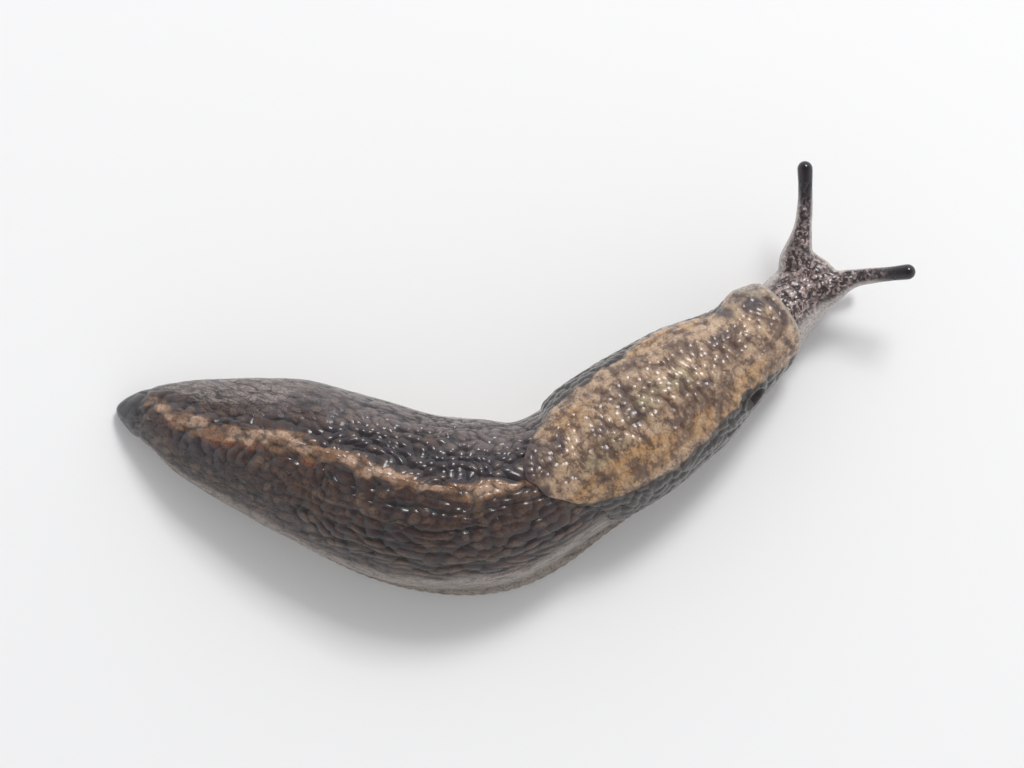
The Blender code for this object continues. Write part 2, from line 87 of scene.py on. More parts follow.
# Distance from the tip of the tail, and the sole's half width as a share of the body's.
SOLE_SHARE = [(0.0, 0.88), (5.0, 0.94), (14.0, 0.96), (21.5, 1.06), (28.0, 0.94), (40.5, 0.85)]
WIDEST_HEIGHT = 0.42
TAIL_ROUND = 1.5
SNOUT_ROUND = 1.4
FOOT_FRONT = 39.5
FOOT_FRONT_ROUND = 1.3
FOOT_GROOVE_HEIGHT = 0.78
FULL_FOOT_HEIGHT = 1.3
FRINGE_REACH = 0.35
# The foot's fringe, from its groove down: how far out from the sole's edge, and how high.
FRINGE_LINE = [(-0.3, 0.68), (-0.1, 0.56), (0.0, 0.34), (-0.04, 0.14), (-0.22, 0.0)]
KEEL_HEIGHT = 0.28
KEEL_HALF_WIDTH = 0.6
KEEL_START = (0.8, 4.0)
KEEL_END = (17.0, 20.5)

# The mantle's outline on the back, and how far the skin beneath it lies below the rest.
MANTLE_REAR = 21.2
MANTLE_REAR_ROUND = 2.4
MANTLE_REAR_REACH = 0.6
MANTLE_REAR_CORNER = 1.3
MANTLE_FRONT = 36.9
MANTLE_FRONT_SKEW = 0.6
MANTLE_FRONT_ROUND = 1.0
MANTLE_SIDE_ANGLE = 104.0
TRUNK_SINK = 0.6
SINK_INSET = 0.3
SINK_RUN = 0.9

# Eyestalks: the root inside the head, points along the stem, and the tip. Then the
# distance from the tip as a share of the stalk's length, and the radius there. The skin
# starts inside the eye's cap and ends inside the head.
EYESTALK_PATHS = {
    "left": [(13.9, 5.1, 2.5), (14.25, 6.4, 3.2), (14.4, 7.2, 3.65), (14.42, 10.12, 5.2)],
    "right": [(15.1, 3.9, 2.4), (16.4, 4.55, 2.95), (18.2, 4.7, 3.8), (19.82, 4.72, 4.5)],
}
EYESTALK_RADII = [
    (0.0, 0.36), (0.08, 0.375), (0.16, 0.36), (0.34, 0.365), (0.48, 0.42),
    (0.6, 0.51), (0.72, 0.68), (0.84, 0.86), (1.0, 0.98),
]
STALK_SKIN = (0.12, 1.25)
FEELER_PATHS = {
    "left": [(14.4, 5.7, 1.6), (14.5, 6.57, 1.45), (14.42, 7.4, 1.1)],
    "right": [(15.6, 4.8, 1.6), (16.6, 5.0, 1.45), (17.45, 5.08, 1.1)],
}
FEELER_RADIUS = 0.3
# Ovals: where their middles lie along the body, to its right and up, and their half sizes.
BROW_PLACE = (39.35, 0.05, 2.75)
BROW_SIZE = (0.85, 1.35, 0.6)
LIP_PLACE = (39.6, 0.42, 1.38)
LIP_SIZE = (0.88, 0.46, 0.5)
MOUTH_PLACE = (40.4, 0.0, 1.32)
MOUTH_SIZE = (0.8, 1.1, 0.09)

# How finely the sheet is divided, and how far the joins on the head are smoothed.
RING_STEP = 0.1
HALF_RING_POINTS = 100
FRINGE_POINTS = 40
SOLE_POINTS = 20
TAIL_RINGS = 22
SNOUT_RINGS = 26
STALK_RINGS = 100
STALK_SIDES = 34
FEELER_RINGS = 26
FEELER_SIDES = 22
EGG_RINGS = 22
EGG_SIDES = 28
SOLE_DENSITY = 0.12
JOIN_START = 36.6
JOIN_STALK = (0.42, 0.6)
JOIN_HEIGHT = (1.6, 2.0)
JOIN_FILL_PASSES = 320
JOIN_PASSES = 16


def spline(knots, values, at):
    """A natural cubic spline through the values at the knots, read at many distances."""
    x = np.asarray(knots, float)
    y = np.asarray(values, float).reshape(len(x), -1)
    at = np.asarray(at, float)
    step = np.diff(x)
    matrix = np.eye(len(x))
    right = np.zeros_like(y)
    for i in range(1, len(x) - 1):
        matrix[i, i - 1 : i + 2] = step[i - 1], 2 * (step[i - 1] + step[i]), step[i]
        right[i] = 6 * ((y[i + 1] - y[i]) / step[i] - (y[i] - y[i - 1]) / step[i - 1])
    bend = np.linalg.solve(matrix, right)
    i = np.clip(np.searchsorted(x, at) - 1, 0, len(x) - 2)
    h, after, before = step[i][:, None], (at - x[i])[:, None], (x[i + 1] - at)[:, None]
    curved = (bend[i] * before**3 + bend[i + 1] * after**3) / (6 * h)
    from_left = (y[i] / h - bend[i] * h / 6) * before
    return curved + from_left + (y[i + 1] / h - bend[i + 1] * h / 6) * after


def column(rows, number, at):
    """One column of a table read at many distances along its first column."""
    return spline([row[0] for row in rows], [row[number] for row in rows], at)[:, 0]


def ease(value, low, high):
    """0 below low, 1 above high, and smooth between them."""
    t = np.clip((value - low) / (high - low), 0.0, 1.0)
    return t * t * (3 - 2 * t)


def end_round(distance, reach):
    """The share of its width that a rounded end has at this distance from its tip."""
    t = np.clip(distance / reach, 0.0, 1.0)
    return np.maximum(0.05, np.sqrt(1 - (1 - t) ** 2))


def path_points(path, at):
    """Points along a smooth path through a few given ones, and the path's length."""
    path = np.asarray(path, float)
    knots = np.concatenate([[0.0], np.cumsum(np.linalg.norm(np.diff(path, axis=0), axis=1))])
    return spline(knots, path, np.asarray(at) * knots[-1]), knots[-1]


def spine_frame(s):
    """The middle line's points at s, and the directions to the animal's right there."""
    here = path_points(SPINE_LINE, s / BODY_LENGTH)[0]
    ahead = path_points(SPINE_LINE, (s + 0.05) / BODY_LENGTH)[0]
    ahead = ahead - path_points(SPINE_LINE, (s - 0.05) / BODY_LENGTH)[0]
    ahead /= np.linalg.norm(ahead, axis=1)[:, None]
    return here, np.stack([ahead[:, 1], -ahead[:, 0]], axis=1)


def place(s, across, z):
    """Points by distance along the middle line, distance to the right of it, and height."""
    s, across, z = np.broadcast_arrays(s, across, z)
    here, right = spine_frame(s.ravel())
    flat = here + right * across.ravel()[:, None] - CENTRE_OF_BOX
    return np.concatenate([flat, z.ravel()[:, None]], axis=1).reshape(*s.shape, 3)


def body_sizes(s):
    """Half width, back height, height of the widest line and sole half width at s."""
    rounding = end_round(s, TAIL_ROUND) * end_round(BODY_LENGTH - s, SNOUT_ROUND)
    wide = column(BODY_SIZES, 1, s) * rounding
    back = column(BODY_SIZES, 2, s)
    middle = WIDEST_HEIGHT * back
    return wide, middle + (back - middle) * rounding, middle, wide * column(SOLE_SHARE, 1, s)


def skin_point(s, angle):
    """Across and height of the body's outline, by s and degrees round from the top."""
    s, angle = np.broadcast_arrays(np.asarray(s, float), np.asarray(angle, float))
    shape = s.shape
    wide, high, middle, sole = (part.reshape(shape) for part in body_sizes(s.ravel()))
    turn = np.radians(np.minimum(np.abs(angle), 180.0))
    above = turn <= np.pi / 2
    base = np.maximum(sole - FRINGE_REACH, 0.7 * sole)
    low = np.minimum(FOOT_GROOVE_HEIGHT, 0.6 * middle)
    across = np.where(above, wide * np.sin(turn), base + (wide - base) * np.sin(turn))
    strength = KEEL_HEIGHT * ease(s, *KEEL_START) * (1 - ease(s, *KEEL_END))
    keel = strength * np.maximum(0.0, 1 - np.abs(across) / KEEL_HALF_WIDTH) ** 1.3
    over = middle + (high - middle) * np.cos(turn) + keel
    z = np.where(above, over, middle + (middle - low) * np.cos(turn))
    return np.where(angle >= 0, across, -across), z


def raised(s, angle, lift):
    """The outline's points moved out from the skin by lift."""
    across, z = skin_point(s, angle)
    across_a, z_a = skin_point(s, angle - 2.0)
    across_b, z_b = skin_point(s, angle + 2.0)
    normal = np.stack([z_a - z_b, across_b - across_a])
    normal = normal / np.linalg.norm(normal, axis=0)
    return across + normal[0] * lift, z + normal[1] * lift


def mantle_ends(u):
    """Where the mantle starts and ends. u is -1 at its left rim and 1 at its right rim."""
    corner = 1 - np.sqrt(1 - np.minimum(np.abs(u), 1.0) ** 2.6)
    rear = MANTLE_REAR + MANTLE_REAR_ROUND * ease(np.abs(u), 0.0, MANTLE_REAR_REACH)
    rear += MANTLE_REAR_CORNER * corner
    return rear, MANTLE_FRONT - MANTLE_FRONT_SKEW * u - MANTLE_FRONT_ROUND * corner


def trunk_sink(s, angle):
    """How far the skin under the mantle lies below the body's outline."""
    rear, front = mantle_ends(angle / MANTLE_SIDE_ANGLE)
    under = ease(s, rear + SINK_INSET, rear + SINK_RUN)
    under = under * (1 - ease(s, front - SINK_RUN, front))
    return TRUNK_SINK * under * (1 - ease(np.abs(angle), 86.0, 99.0))


def half_ring(s):
    """One side of the outline at s, from the top of the back to the middle of the sole.

    Gives for each point its place across, its height, its degrees round from the top, its
    distance round from the top and its distance round from the foot's groove.
    """
    turns = np.linspace(0.0, 180.0, 181)
    across, z = raised(s, turns, -trunk_sink(s, turns))
    wide, high, middle, sole = (float(part[0]) for part in body_sizes(np.array([s])))
    small = min(1.0, middle / FULL_FOOT_HEIGHT)
    share = float(end_round(FOOT_FRONT - s, FOOT_FRONT_ROUND))
    lifted = float(ease(s, FOOT_FRONT - 0.3, FOOT_FRONT + 0.2))
    low = z[-1]
    foot = [(max(sole + small * a, 0.1) * share, small * b) for a, b in FRINGE_LINE]
    foot = [(a + (min(across[-1], a) - a) * lifted, b + (low - b) * lifted) for a, b in foot]
    foot = np.array([(across[-1], low)] + foot)
    fine = np.linspace(0, len(foot) - 1, FRINGE_POINTS + 1)
    fringe = np.stack([np.interp(fine, range(len(foot)), foot[:, i]) for i in (0, 1)], axis=1)
    inward = np.linspace(1, 0, SOLE_POINTS + 1)
    sole_line = fringe[-1] * np.stack([inward, np.ones_like(inward)], axis=1)
    line = np.concatenate([np.stack([across, z], axis=1), fringe[1:], sole_line[1:]])
    foot_degrees = (np.linspace(181, 200, FRINGE_POINTS), np.linspace(201, 220, SOLE_POINTS))
    degrees = np.concatenate([turns, *foot_degrees])
    step = np.linalg.norm(np.diff(line, axis=0), axis=1)
    weight = np.where(degrees[1:] > 200, SOLE_DENSITY, 1.0)
    round_way = np.concatenate([[0.0], np.cumsum(step)])
    pace = np.concatenate([[0.0], np.cumsum(step * weight)])
    even = np.linspace(0.0, pace[-1], HALF_RING_POINTS)
    columns = (line[:, 0], line[:, 1], degrees, round_way, round_way[180] - round_way)
    return [np.interp(even, pace, values) for values in columns]


def sheet_faces(rings, sides):
    """Four-cornered faces between closed rings, and the two fans that close the ends."""
    a = (np.arange(rings - 1)[:, None] * sides + np.arange(sides)).ravel()
    b = (np.arange(rings - 1)[:, None] * sides + np.roll(np.arange(sides), -1)).ravel()
    faces = np.stack([a, b, b + sides, a + sides], axis=1).tolist()
    last = (rings - 1) * sides
    for j in range(sides):
        k = (j + 1) % sides
        faces.append((k, j, rings * sides))
        faces.append((last + j, last + k, rings * sides + 1))
    return faces


def solid(name, points, faces):
    """An object in the scene with its faces turned outwards."""
    mesh = bpy.data.meshes.new(name)
    mesh.from_pydata(points.tolist(), [], faces)
    work = bmesh.new()
    work.from_mesh(mesh)
    bmesh.ops.recalc_face_normals(work, faces=work.faces)
    work.to_mesh(mesh)
    work.free()
    made = bpy.data.objects.new(name, mesh)
    scene.collection.objects.link(made)
    return made


def closed_sheet(name, rings):
    """An object skinned over closed rings, with a point at each end, and its points."""
    rings = np.asarray(rings)
    ends = np.stack([rings[0].mean(axis=0), rings[-1].mean(axis=0)])
    points = np.concatenate([rings.reshape(-1, 3), ends])
    return solid(name, points, sheet_faces(rings.shape[0], rings.shape[1])), points


def tube_rings(path, radii, shares, sides):
    """Rings round a smooth path. A share is 0 at the path's tip and 1 at its root."""
    middle = path_points(path, 1 - shares)[0]
    ahead = path_points(path, 1 - shares + 0.01)[0] - path_points(path, 1 - shares - 0.01)[0]
    ahead /= np.linalg.norm(ahead, axis=1)[:, None]
    level = np.cross(ahead, (0.0, 0.0, 1.0))
    level /= np.linalg.norm(level, axis=1)[:, None]
    upright = np.cross(level, ahead)
    turn = np.linspace(0, 2 * np.pi, sides, endpoint=False)[None, :, None]
    spokes = np.cos(turn) * level[:, None] + np.sin(turn) * upright[:, None]
    rings = middle[:, None] + spokes * radii[:, None, None]
    return rings - np.array([*CENTRE_OF_BOX, 0.0])


def egg_rings(s, across, z, sizes):
    """Rings of an ellipsoid whose long axis lies along the middle line."""
    turn = np.radians(np.linspace(4, 176, EGG_RINGS))[:, None]
    round_turn = np.linspace(0, 2 * np.pi, EGG_SIDES, endpoint=False)[None]
    side = across + sizes[1] * np.sin(turn) * np.cos(round_turn)
    up = z + sizes[2] * np.sin(turn) * np.sin(round_turn)
    return place(s - sizes[0] * np.cos(turn), side, up)


def boolean(base, others, operation):
    """Joins the other pieces to base or cuts them away, and then removes them."""
    group = bpy.data.collections.new(operation.lower())
    for piece in others:
        group.objects.link(piece)
    change = base.modifiers.new(operation.lower(), "BOOLEAN")
    change.operation = operation
    change.operand_type = "COLLECTION"
    change.collection = group
    change.solver = "EXACT"
    graph = bpy.context.evaluated_depsgraph_get()
    mesh = bpy.data.meshes.new_from_object(base.evaluated_get(graph))
    base.modifiers.clear()
    base.data = mesh
    for piece in others:
        bpy.data.objects.remove(piece)
    bpy.data.collections.remove(group)


def read_vectors(items, key):
    """The places or normals of a mesh's vertices, one in each row."""
    values = np.empty(len(items) * 3, np.float32)
    items.foreach_get(key, values)
    return values.reshape(-1, 3).astype(float)


def write_points(mesh, points):
    """Moves the vertices of a mesh."""
    mesh.vertices.foreach_set("co", points.astype(np.float32).ravel())
    mesh.update()


def blended(mesh, values, weight, passes, hollows_only=False):
    """Values at the vertices drawn towards their neighbours' mean where weight is high.

    With hollows_only the values are the vertices' places, and only hollows are filled up.
    """
    ends = np.empty(len(mesh.edges) * 2, np.int64)
    mesh.edges.foreach_get("vertices", ends)
    a, b = ends.reshape(-1, 2).T
    near = (weight[a] > 0) | (weight[b] > 0)
    a, b = np.concatenate([a[near], b[near]]), np.concatenate([b[near], a[near]])
    moving = np.flatnonzero(weight > 0)
    count = np.bincount(a, minlength=len(values))[moving, None]
    for _ in range(passes):
        sums = [np.bincount(a, part[b], len(values))[moving] for part in values.T]
        step = np.stack(sums, axis=1) / count - values[moving]
        if hollows_only:
            write_points(mesh, values)
            normals = read_vectors(mesh.vertex_normals, "vector")[moving]
            step = normals * np.maximum((step * normals).sum(axis=1), 0.0)[:, None]
        values[moving] += 0.7 * weight[moving, None] * step
    return values


# The sheet itself, ring by ring, with the rings set closer at the tail's tip and the snout.
tail_rings = TAIL_ROUND * (1 - np.cos(np.radians(np.linspace(0, 84, TAIL_RINGS))))
snout_rings = SNOUT_ROUND * (1 - np.cos(np.radians(np.linspace(84, 0, SNOUT_RINGS))))
snout_rings = BODY_LENGTH - snout_rings
count = int((snout_rings[0] - tail_rings[-1]) / RING_STEP)
ring_places = np.linspace(tail_rings[-1], snout_rings[0], count)[1:-1]
ring_places = np.concatenate([tail_rings, ring_places, snout_rings])
halves = np.array([half_ring(s) for s in ring_places]).transpose(1, 0, 2)
left = halves[:, :, HALF_RING_POINTS - 2 : 0 : -1] * np.array([-1, 1, -1, -1, 1])[:, None, None]
across, height, degrees, way, from_foot = np.concatenate([halves, left], axis=2)
along = np.repeat(ring_places[:, None], across.shape[1], axis=1)
skin, skin_points = closed_sheet("skin", place(along, across, height))
# A point's row: how far along, round, in degrees, from the foot's groove, and up a stalk.
values = np.stack([along, way, degrees, from_foot, np.zeros_like(along)], axis=-1)
ends = np.array([[0.0, 0.0, 0.0, 2.0, 0.0], [BODY_LENGTH, 0.0, 0.0, 2.0, 0.0]])
sources = [(skin_points, np.concatenate([values.reshape(-1, 5), ends]))]

# Eyestalks and feelers are hollow in life and stand up by the pressure inside them.
joined = []


def join(name, rings, place_along, stalk_share=0.0):
    """Makes a piece that is joined to the sheet, and notes the places of its points."""
    piece, points = closed_sheet(name, rings)
    joined.append(piece)
    values = np.tile([place_along, 0.0, 0.0, 2.0, 0.0], (len(points), 1))
    share = np.broadcast_to(stalk_share, rings.shape[:1])
    values[:, 4] = np.concatenate([np.repeat(share, rings.shape[1]), share[[0, -1]]])
    sources.append((points, values))


for side, path in EYESTALK_PATHS.items():
    shares = np.linspace(*STALK_SKIN, STALK_RINGS)
    radii = column(EYESTALK_RADII, 1, np.minimum(shares, 1.0))
    radii *= end_round((shares - STALK_SKIN[0]) * 6, 0.3)
    radii *= 1 - 0.7 * ease(shares, 0.85, STALK_SKIN[1])
    rings = tube_rings(path, radii, shares, STALK_SIDES)
    join("stalk_" + side, rings, BODY_LENGTH - 1.0, 1 - shares)
for side, path in FEELER_PATHS.items():
    shares = np.linspace(0.0, 1.0, FEELER_RINGS) ** 1.3
    length = path_points(path, shares)[1]
    radii = FEELER_RADIUS * (1 + 0.3 * shares) * end_round(shares * length, FEELER_RADIUS)
    join("feeler_" + side, tube_rings(path, radii, shares, FEELER_SIDES), BODY_LENGTH - 1.0)
join("brow", egg_rings(*BROW_PLACE, BROW_SIZE), BODY_LENGTH - 1.0)
s, reach, z = LIP_PLACE
for name, across_lip in (("lip_left", -reach), ("lip_right", reach)):
    join(name, egg_rings(s, across_lip, z, LIP_SIZE), BODY_LENGTH - 0.5)
boolean(skin, joined, "UNION")
boolean(skin, [closed_sheet("mouth_line", egg_rings(*MOUTH_PLACE, MOUTH_SIZE))[0]], "DIFFERENCE")

# Each vertex takes its place on the body from the nearest point of the sheets.
source_points, source_values = (np.concatenate(part) for part in zip(*sources))
tree = kdtree.KDTree(len(source_points))
for i, point in enumerate(source_points):
    tree.insert(point, i)
tree.balance()
points = read_vectors(skin.data.vertices, "co")
nearest = np.array([tree.find(point)[1] for point in points])
s, q, turn, from_foot, stalk = source_values[nearest].T
near_join = ease(s, JOIN_START, JOIN_START + 1.0) * (1 - ease(stalk, *JOIN_STALK))
near_join *= ease(points[:, 2], *JOIN_HEIGHT)
points = blended(skin.data, points, near_join, JOIN_FILL_PASSES, hollows_only=True)
points = blended(skin.data, points, near_join, JOIN_PASSES)
stalk = blended(skin.data, stalk[:, None], near_join, JOIN_FILL_PASSES)[:, 0]
write_points(skin.data, points)

# The flesh rolls softly. Broken grooves about a millimetre apart run between the rows of
# tubercles, with fine lines along the lower flank and across the foot's fringe, and one
# deep fold in front of the smooth end of the tail.
TUBERCLE_LENGTH = 0.52
TUBERCLE_WIDTH = 0.45
GROOVE_SPACING = 1.0
GROOVE_DEPTH = 0.07
GROOVE_START = (9.0, 13.0)
LOW_LINE_SPACING = 0.36
LOW_LINE_DEPTH = 0.03
FRINGE_LINE_SPACING = 0.42
FRINGE_LINE_DEPTH = 0.04
FOLD_PLACE = 1.45
FOLD_HALF_WIDTH = 0.16
FOLD_DEPTH = 0.07
FLESH_ROLL = 0.07
HEAD_START = (35.4, 36.6)


def drift(x, y, seed):
    """A smooth random value between -1 and 1 that changes over about one unit."""
    table = 2 * np.random.default_rng(seed).random((97, 89)) - 1
    i, j = np.floor(x).astype(int), np.floor(y).astype(int)
    u, v = x - i, y - j
    u, v = u * u * (3 - 2 * u), v * v * (3 - 2 * v)
    low = table[i % 97, j % 89] * (1 - u) + table[(i + 1) % 97, j % 89] * u
    high = table[i % 97, (j + 1) % 89] * (1 - u) + table[(i + 1) % 97, (j + 1) % 89] * u
    return low * (1 - v) + high * v


def lines(phase, half_width):
    """Soft lines where phase is a whole number."""
    return np.exp(-(((phase - np.round(phase)) / half_width) ** 2))


head = ease(s, *HEAD_START)
back = 1 - ease(np.abs(turn), 178.0, 182.0)
body = back * (1 - head) * ease(s, 0.3, 1.6)
warp_s = s + 0.25 * drift(s / 1.1, q / 0.8, 31)
warp_q = q + 0.2 * drift(s / 1.3, q / 1.1, 3) + 0.1 * drift(s / 0.5, q / 0.5, 4)
lower = ease(np.abs(turn), 60.0, 84.0) * back
groove = lines((warp_q - 0.2) / GROOVE_SPACING, 0.09) * ease(s, *GROOVE_START)
groove *= (1 - 0.7 * lower) * ease(np.abs(q), 0.5, 0.9)
groove *= ease(drift(s / 2.2, q / 0.9, 17), -0.8, -0.1)
waving = from_foot + 0.16 * drift(s / 2.4, from_foot / 0.7, 32)
low_line = lines(waving / LOW_LINE_SPACING, 0.15)
low_line *= lower * ease(drift(s / 1.9, from_foot / 0.3, 33), -0.4, 0.3)
fringe = ease(np.abs(turn), 181.0, 184.0) * (1 - ease(np.abs(turn), 197.0, 201.0))
fringe_lines = lines(s / FRINGE_LINE_SPACING + 0.3 * drift(s, q, 7), 0.2)
off_fold = s - FOLD_PLACE - 0.25 * drift(s, q / 0.8, 18)
fold = np.exp(-((off_fold / FOLD_HALF_WIDTH) ** 2)) * back

rise = FLESH_ROLL * drift(s / 2.2, q / 1.6, 8)
rise -= GROOVE_DEPTH * groove + LOW_LINE_DEPTH * low_line
rise = rise * body - FRINGE_LINE_DEPTH * fringe * fringe_lines * (1 - head)
rise -= FOLD_DEPTH * fold
normals = read_vectors(skin.data.vertex_normals, "vector")
# How much each point faces up; the head's painted sheen goes where it does not.
on_top = ease(normals[:, 2], 0.3, 0.9)
points = points + normals * rise[:, None]
points[:, 2] = np.maximum(points[:, 2], 0.0)
write_points(skin.data, points * MM)
skin.data.shade_smooth()

# Where the colours lie, by distance along the body and degrees from the top of the back.
# The tan band runs along the keel, with its middle and half width given in degrees. A patch
# is an oval, given by its middle and then by its half length and its half width.
BAND_START = (1.2, 1.9)
BAND_END = (20.6, 22.2)
WRINKLES_START = (1.2, 2.0)
WRINKLES_END = (7.5, 13.0)
SMOOTH_END = (0.7, 1.6)
SKIRT_TOP = (66.0, 86.0)
LEFT_FLANK = (14.0, 46.0)
BAND_LINE = [
    (0.0, -16.0, 16.0), (1.9, -16.0, 14.0), (3.4, 7.0, 11.0), (4.7, 11.0, 11.0),
    (6.5, 6.0, 10.0), (9.4, 0.0, 8.0), (12.5, -1.0, 6.0), (15.1, -1.0, 5.5),
    (17.5, 1.0, 5.5), (19.8, 3.0, 5.5), (21.5, 5.0, 4.0),
]
# The last black patch darkens the tip of the tail all round: painted shade.
BLACK_PATCHES = [
    (20.2, -11.0, 2.0, 13.0), (16.2, -17.0, 3.4, 13.0), (12.4, -19.0, 2.0, 10.0),
    (5.0, 34.0, 1.6, 16.0), (22.3, -26.0, 0.6, 9.0), (0.2, 0.0, 1.2, 300.0),
]
RUST_PATCHES = [
    (5.6, 17.0, 1.4, 9.0), (7.4, 11.0, 1.0, 6.0), (10.5, 11.0, 1.6, 5.0),
    (8.6, -6.0, 0.8, 4.0), (3.2, 14.0, 0.8, 9.0),
]
PALE_PATCHES = [
    (8.0, 22.0, 2.0, 9.0), (18.6, 17.0, 1.6, 7.0), (13.0, 28.0, 2.6, 12.0),
    (1.9, -16.0, 0.35, 16.0), (21.4, 12.0, 0.6, 8.0),
]


def spots(x, y, rows):
    """Soft oval patches, each given by its middle and its half sizes, added together."""
    found = sum(np.exp(-(((x - a) / c) ** 2) - ((y - b) / d) ** 2) for a, b, c, d in rows)
    return np.clip(found, 0.0, 1.0)


def set_values(mesh, **columns):
    """Stores numbers or vectors for the vertices, for the material to read."""
    for name, values in columns.items():
        kind, key = ("FLOAT_VECTOR", "vector") if values.ndim == 2 else ("FLOAT", "value")
        layer = mesh.attributes.new(name, kind, "POINT")
        layer.data.foreach_set(key, values.astype(np.float32).ravel())


band_places, band_middles, band_widths = np.array(BAND_LINE).T
centre = np.interp(s, band_places, band_middles)
reach = np.interp(s, band_places, band_widths)
ragged = 0.6 * drift(s / 0.5, q / 0.35, 11) + 0.4 * drift(s / 1.5, q / 0.8, 12)
off = (turn - centre) / reach + ragged
band = (1 - ease(np.abs(off), 0.35, 1.2)) * (1 - ease(s, *BAND_END)) * ease(s, *BAND_START)
under_band = np.exp(-(((off - 1.5) / 0.7) ** 2)) * ease(s, 3.5, 6.0) * (1 - ease(s, 19.0, 21.0))
# Wrinkles on the tail. They are weaker on the right side, away from the light, where their pale
# ridges, a painted highlight, should be dimmer.
wrinkled = (1 - ease(s, *WRINKLES_END)) * ease(s, *WRINKLES_START)
wrinkled *= ease(np.abs(turn - centre), 12.0, 40.0) * (1 - 0.35 * ease(turn, 10.0, 30.0))
lump_at = np.stack([warp_s / TUBERCLE_LENGTH, warp_q / TUBERCLE_WIDTH, 0 * s], axis=1)
set_values(
    skin.data, band=band, under_band=under_band, stalk=stalk, groove=np.clip(groove, 0, 1) * body,
    left=ease(-turn + 12 * drift(s / 1.6, q, 14), *LEFT_FLANK),
    skirt=ease(np.abs(turn) + 7.0 * drift(s / 1.7, q / 2, 15), *SKIRT_TOP) * (1 - head),
    black=spots(s, turn, BLACK_PATCHES) * (1 - head),
    rust=spots(s, turn, RUST_PATCHES), pale=spots(s, turn, PALE_PATCHES), wrinkled=wrinkled,
    smooth_end=1 - ease(s, *SMOOTH_END), fold=fold, low_line=low_line * (1 - head),
    head=head, on_top=on_top, sole=ease(np.abs(turn), 194.0, 199.0),
    where=np.stack([s, q, 0 * s], axis=1), lump_at=lump_at, lumpy=body * (1 - 0.6 * lower),
)


def linear(code):
    """The linear colour of an sRGB hex value."""
    parts = np.array([int(code[i : i + 2], 16) for i in (1, 3, 5)]) / 255
    return (*np.where(parts <= 0.04045, parts / 12.92, ((parts + 0.055) / 1.055) ** 2.4), 1.0)


def add(tree, kind, inputs=(), out=None, **settings):
    """Adds a node with its settings and links, and gives one of its outputs.

    The inputs are an output to link or a constant value each, by name or in the order of
    the sockets in use. The output is the first one in use where none is named.
    """
    node = tree.nodes.new(kind)
    for name, value in settings.items():
        setattr(node, name, value)
    sockets = [socket for socket in node.inputs if socket.enabled]
    if not isinstance(inputs, dict):
        inputs = {sockets[i].name + str(i): value for i, value in enumerate(inputs)}
        sockets = {socket.name + str(i): socket for i, socket in enumerate(sockets)}
    else:
        sockets = {socket.name: socket for socket in sockets}
    for name, value in inputs.items():
        if isinstance(value, bpy.types.NodeSocket):
            tree.links.new(value, sockets[name])
        else:
            sockets[name].default_value = value
    in_use = [found for found in node.outputs if found.enabled]
    return node.outputs[out] if out else (in_use or [None])[0]


# Tubercles are round lumps 0.5 mm long and 0.45 mm wide, highest at their middles. The tree
# reads where a point lies among them, counted in lumps, and how much of their height it has.
LUMP_RANDOM = 0.9
TUBERCLE_RISE = 0.03

tree = lump_tree = bpy.data.node_groups.new("raised_lumps", "GeometryNodeTree")
for name, way, kind in (("Skin", "INPUT", "Geometry"), ("Rise", "INPUT", "Float"),
                        ("Material", "INPUT", "Material"), ("Skin", "OUTPUT", "Geometry")):
    tree.interface.new_socket(name, in_out=way, socket_type="NodeSocket" + kind)
plain = add(tree, "NodeGroupInput", out="Skin")
entry = tree.nodes[-1]
named = "GeometryNodeInputNamedAttribute"
at = add(tree, named, {"Name": "lump_at"}, data_type="FLOAT_VECTOR")
share = add(tree, named, {"Name": "lumpy"}, data_type="FLOAT")
lump = {"Vector": at, "Scale": 1.0, "Randomness": LUMP_RANDOM}
lump = add(tree, "ShaderNodeTexVoronoi", lump, voronoi_dimensions="2D")
high = add(tree, "ShaderNodeMath", (lump, lump), operation="MULTIPLY")
high = add(tree, "ShaderNodeMath", (high, -2.0, 0.5), operation="MULTIPLY_ADD")
for times in (share, entry.outputs["Rise"]):
    high = add(tree, "ShaderNodeMath", (high, times), operation="MULTIPLY")
outward = {"Vector": add(tree, "GeometryNodeInputNormal"), "Scale": high}
outward = add(tree, "ShaderNodeVectorMath", outward, operation="SCALE")
lumps = add(tree, "GeometryNodeSetPosition", {"Geometry": plain, "Offset": outward})
lumps = add(tree, "GeometryNodeRealizeInstances", {"Geometry": lumps})
lumps = {"Geometry": lumps, "Material": entry.outputs["Material"]}
add(tree, "NodeGroupOutput", {"Skin": add(tree, "GeometryNodeSetMaterial", lumps)})


def raise_lumps(piece, rise, material):
    """Raises the lumps on a piece, by rise in metres, and gives it its material."""
    change = piece.modifiers.new("raised_lumps", "NODES")
    change.node_group = lump_tree
    sockets = [item for item in lump_tree.interface.items_tree if item.in_out == "INPUT"]
    sockets = {item.name: item.identifier for item in sockets}
    change[sockets["Rise"]] = rise
    change[sockets["Material"]] = material
    graph = bpy.context.evaluated_depsgraph_get()
    mesh = bpy.data.meshes.new_from_object(piece.evaluated_get(graph))
    piece.modifiers.clear()
    piece.data = mesh


def new_material(name):
    """A material, its node tree and its surface shader."""
    made = bpy.data.materials.new(name)
    made.use_nodes = True
    return made, made.node_tree, made.node_tree.nodes["Principled BSDF"]


def layered(tree, base, layers):
    """Colours laid over each other.

    A layer is the value that shows it, the values where it starts and where it is full, how
    strongly it covers, and its colour.
    """
    for value, start, full, strength, colour in layers:
        ramp = {"Value": value, "From Min": start, "From Max": full, "To Max": strength}
        cover = add(tree, "ShaderNodeMapRange", ramp, interpolation_type="SMOOTHSTEP")
        colour = linear(colour) if isinstance(colour, str) else colour
        base = add(tree, "ShaderNodeMix", (cover, base, colour), data_type="RGBA")
    return base


